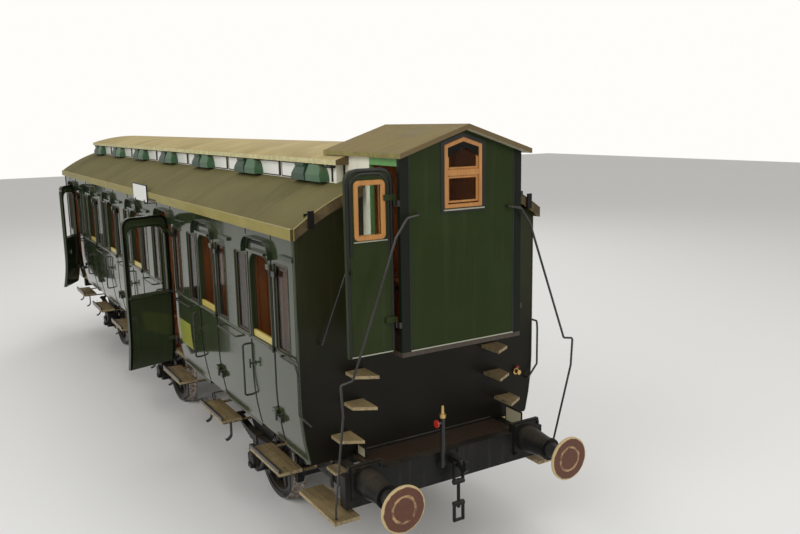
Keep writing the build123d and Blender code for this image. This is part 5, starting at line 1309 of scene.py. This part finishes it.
def makeFittings():
    # board with its hooks and bracket, lamp irons, ring and rod, stair plates, tap, sill and the painted reflection
    # patch
    f = fittings
    board, edge, black, plates, brass, red, sill, reflectionPatch = newBatches(8)
    (x0, x1), (z0, z1), y = f["boardX"], f["boardZ"], -f["boardY"]
    onWall(board, level(x0, x1, (z0 + z1) / 2), y, -1, bevelled(z1 - z0, *f["board"]))
    onWall(edge, corners(f["boardX"], f["boardZ"]), y, -1, bevelled(*f["boardEdge"]), True)
    for x in (x0 + f["hookIn"], x1 - f["hookIn"]):  # two iron hooks carry the board from the letterboard
        (low, high), (near, far) = f["hookZs"], f["hookOut"]
        hook = [(x, -f["wallY"], z0 + low), (x, y - near, z0 + low), (x, y - far, z0 + high)]
        sweep(edge, hook, (1, 0, 0), bevelled(*f["hook"]))
    (x0, x1), z = f["bracketX"], f["bracketZ"]
    bracket = [(x0, -f["wallY"], z), (x0, -f["bracketY"], z), (x1, -f["bracketY"], z), (x1, -f["wallY"], z)]
    sweep(black, bracket, (0, 0, 1), bevelled(*f["bracket"]))
    (x0, x1), (z0, z1) = f["lampX"], f["lampZ"]
    for side in (-1, 1):  # lamp iron: foot on the end wall, arm out and a socket up
        y = side * f["lampY"]
        footX, nutX = x0 - f["lampFootIn"], x0 - f["lampNutIn"]
        onWall(black, [(footX, z0), (x1, z0), (x1, z1)], y, side, bevelled(*f["lampArm"]))
        stamp(black, nutForm(*f["lampNut"]), [(nutX, y, z0 + up) for up in f["lampNutZs"]], (1, 0, 0))
        onFront(black, [(y, z0 + up) for up in f["lampFootZs"]], footX, bevelled(*f["lampFoot"]))
    x, y, z = f["ringAt"]
    onWall(black, roundedLoop(*f["ring"]) + (x, z), y, -1, circle(*f["ringWire"]), True)
    sweep(black, f["rodPath"], (0, 0, 1), circle(*f["rod"]))
    for y, xs, zs in f["plates"]:  # blank plates at the foot of the stairs
        onWall(plates, level(*xs, sum(zs) / 2), y, 1, bevelled(zs[1] - zs[0], *f["plate"]))
        onWall(black, corners(xs, zs), y, 1, bevelled(*f["plateRim"]), True)
    stamp(brass, turnedForm(f["tap"]), [f["tapAt"]], (1, 0, 0))
    knobAt = np.add(f["tapAt"], f["knobAt"])
    stamp(brass, turnedForm(f["stem"], 8), [knobAt], (0, 0, 1))
    stamp(red, turnedForm(f["knob"], 12), [knobAt], (0, 0, 1))
    onFront(sill, level(-f["sillHalf"], f["sillHalf"], f["sillZ"]), f["endX"], bevelled(*f["sill"]))
    zs = np.linspace(*f["patchZ"], f["patchSteps"])  # painted reflection: an olive-yellow patch on the side beside the open door
    column = [(sum(f["patchX"]) / 2, z) for z in zs]
    followSide(reflectionPatch, column, -1, bevelled(f["patchX"][1] - f["patchX"][0], *f["reflectionPatch"]))
    makePieces("coach_body", [
        ("sideSheet", reflectionPatch, "reflectionPatch", "cream_paint"),
        ("stairPlates", plates, "plate", "cream_paint"),
        ("endTap", brass, "brass", "black_paint"),
        ("endTapKnob", red, "redEnamel", "buffer_red"),
        ("endSill", sill, "rail", "black_paint"),
        ("blankBoard", board, "board", "cream_paint"),
        ("boardEdges", edge, "black", "black_paint"),
        ("endIrons", black, "black", "black_paint")])


makeFittings()

# bolts and rivets: (y, z) from one point to another, count, radius and height, and how far a nut stands
# off the beam; every row is repeated on side b, and the ends' rows at both ends
beamRows = [
    ((0.745, 0.92), (1.005, 0.92), 2, (0.016, 0.014), 0.022),
    ((0.745, 1.18), (1.005, 1.18), 2, (0.016, 0.014), 0.022),
    ((0.42, 0.88), (0.64, 0.88), 3, (0.008, 0.005), 0),
    ((0.42, 1.10), (0.64, 1.10), 3, (0.008, 0.005), 0),
    ((0.065, 0.985), (0.065, 1.115), 2, (0.013, 0.012), 0.016),
    ((0.27, 0.88), (0.27, 1.10), 5, (0.008, 0.005), 0),
    ((0.32, 0.88), (0.32, 1.10), 5, (0.008, 0.005), 0),
]
# the same on the axle guards, as (x, z) from the axle
guardRows = [
    ((-0.30, 1.040), (0.30, 1.040), 5, (0.011, 0.008)),
    ((-0.30, 0.900), (0.30, 0.900), 5, (0.011, 0.008)),
    ((-0.155, 0.46), (-0.155, 0.66), 3, (0.009, 0.006)),
    ((0.155, 0.46), (0.155, 0.66), 3, (0.009, 0.006)),
]
guardY = 0.954
boxRing = {"radius": 0.068, "y": 1.103, "bolt": (0.0095, 0.008)}
webRow = {"y": 0.938, "zs": (0.905, 1.060), "step": 0.26, "reach": 5.35, "clear": 0.72, "rivet": (0.009, 0.005)}


def makeBolts():
    # nuts and rivets of the two end beams, the axle guards, the axleboxes and the frame's webs
    nuts, rivets = newBatches(2)
    for side in (-1, 1):
        for end, beam in ((1, coach["nearBeam"]), (-1, coach["farBeam"])):
            for start, stop, count, size, lift in beamRows:
                points = across(np.linspace(start, stop, count) * (side, 1), beam + end * lift)
                form = nutForm(*size) if lift else domeForm(*size, 2, 8)
                stamp(nuts if lift else rivets, form, points, (end, 0, 0))
        for axleX in coach["axleXs"]:
            for start, stop, count, size in guardRows:
                points = upright(np.linspace(start, stop, count) + (axleX, 0), side * guardY)
                stamp(nuts, nutForm(*size), points, (0, side, 0))
            a = np.arange(4) * math.pi / 2 + math.pi / 4
            ring = np.stack([axleX + boxRing["radius"] * np.cos(a), coach["axleZ"] + boxRing["radius"] * np.sin(a)], -1)
            stamp(nuts, nutForm(*boxRing["bolt"]), upright(ring, side * boxRing["y"]), (0, side, 0))
        xs = np.arange(-webRow["reach"], webRow["reach"], webRow["step"])
        xs = xs[np.min(np.abs(xs[:, None] - np.array(coach["axleXs"])), axis=1) > webRow["clear"]]
        for z in webRow["zs"]:
            points = upright([(x, z) for x in xs], side * webRow["y"])
            stamp(rivets, domeForm(*webRow["rivet"], 2, 6), points, (0, side, 0))
    makePieces("coach_body", [("frameNuts", nuts, "black", "black_paint"),
                              ("frameRivets", rivets, "black", "black_paint")])


makeBolts()

# bent steel strips along the footboards' front edges, and bolt heads on the boards
footEdge = {
    "z": 0.905,
    "thick": 0.032,
    "outY": 1.325,
    "half": 0.368,
    "strip": (0.036, 0.004, 0.003, -0.018),
    "boltX": 0.335,
    "boltYs": (1.145, 1.255),
    "bolt": (0.011, 0.004, 2, 8),
}


def makeFootEdges():
    # a worn strip along each board's outer edge, and four bolts on its top
    e = footEdge
    strips, bolts = newBatches(2)
    for side in coach["sides"].values():
        for x in coach["doorXs"]:
            onWall(strips, level(x - e["half"], x + e["half"], e["z"] + e["thick"] / 2), side * e["outY"], side,
                   bevelled(*e["strip"]))
            places = [(x + hand * e["boltX"], side * y, e["z"] + e["thick"]) for hand in (-1, 1) for y in e["boltYs"]]
            stamp(bolts, domeForm(*e["bolt"]), places, (0, 0, 1))
    makePieces("coach_body", [("footboardEdges", strips, "rail", "black_paint"),
                              ("footboardBolts", bolts, "black", "black_paint")])


makeFootEdges()
print("ironwork dressed")

# pale floor without an edge in sight
ground = {"colour": (0.80, 0.80, 0.79), "half": 60.0, "rough": 0.7}


def makeGround():
    mesh = bpy.data.meshes.new("paleFloor")
    h = ground["half"]
    mesh.from_pydata([(-h, -h, 0), (h, -h, 0), (h, h, 0), (-h, h, 0)], [], [(0, 1, 2, 3)])
    floor = bpy.data.objects.new("paleFloor", mesh)
    scene.collection.objects.link(floor)
    material = bpy.data.materials.new("paleFloor")
    material.use_nodes = True
    surface = material.node_tree.nodes["Principled BSDF"].inputs
    feed(surface["Base Color"], ground["colour"])
    feed(surface["Roughness"], ground["rough"])
    mesh.materials.append(material)


makeGround()
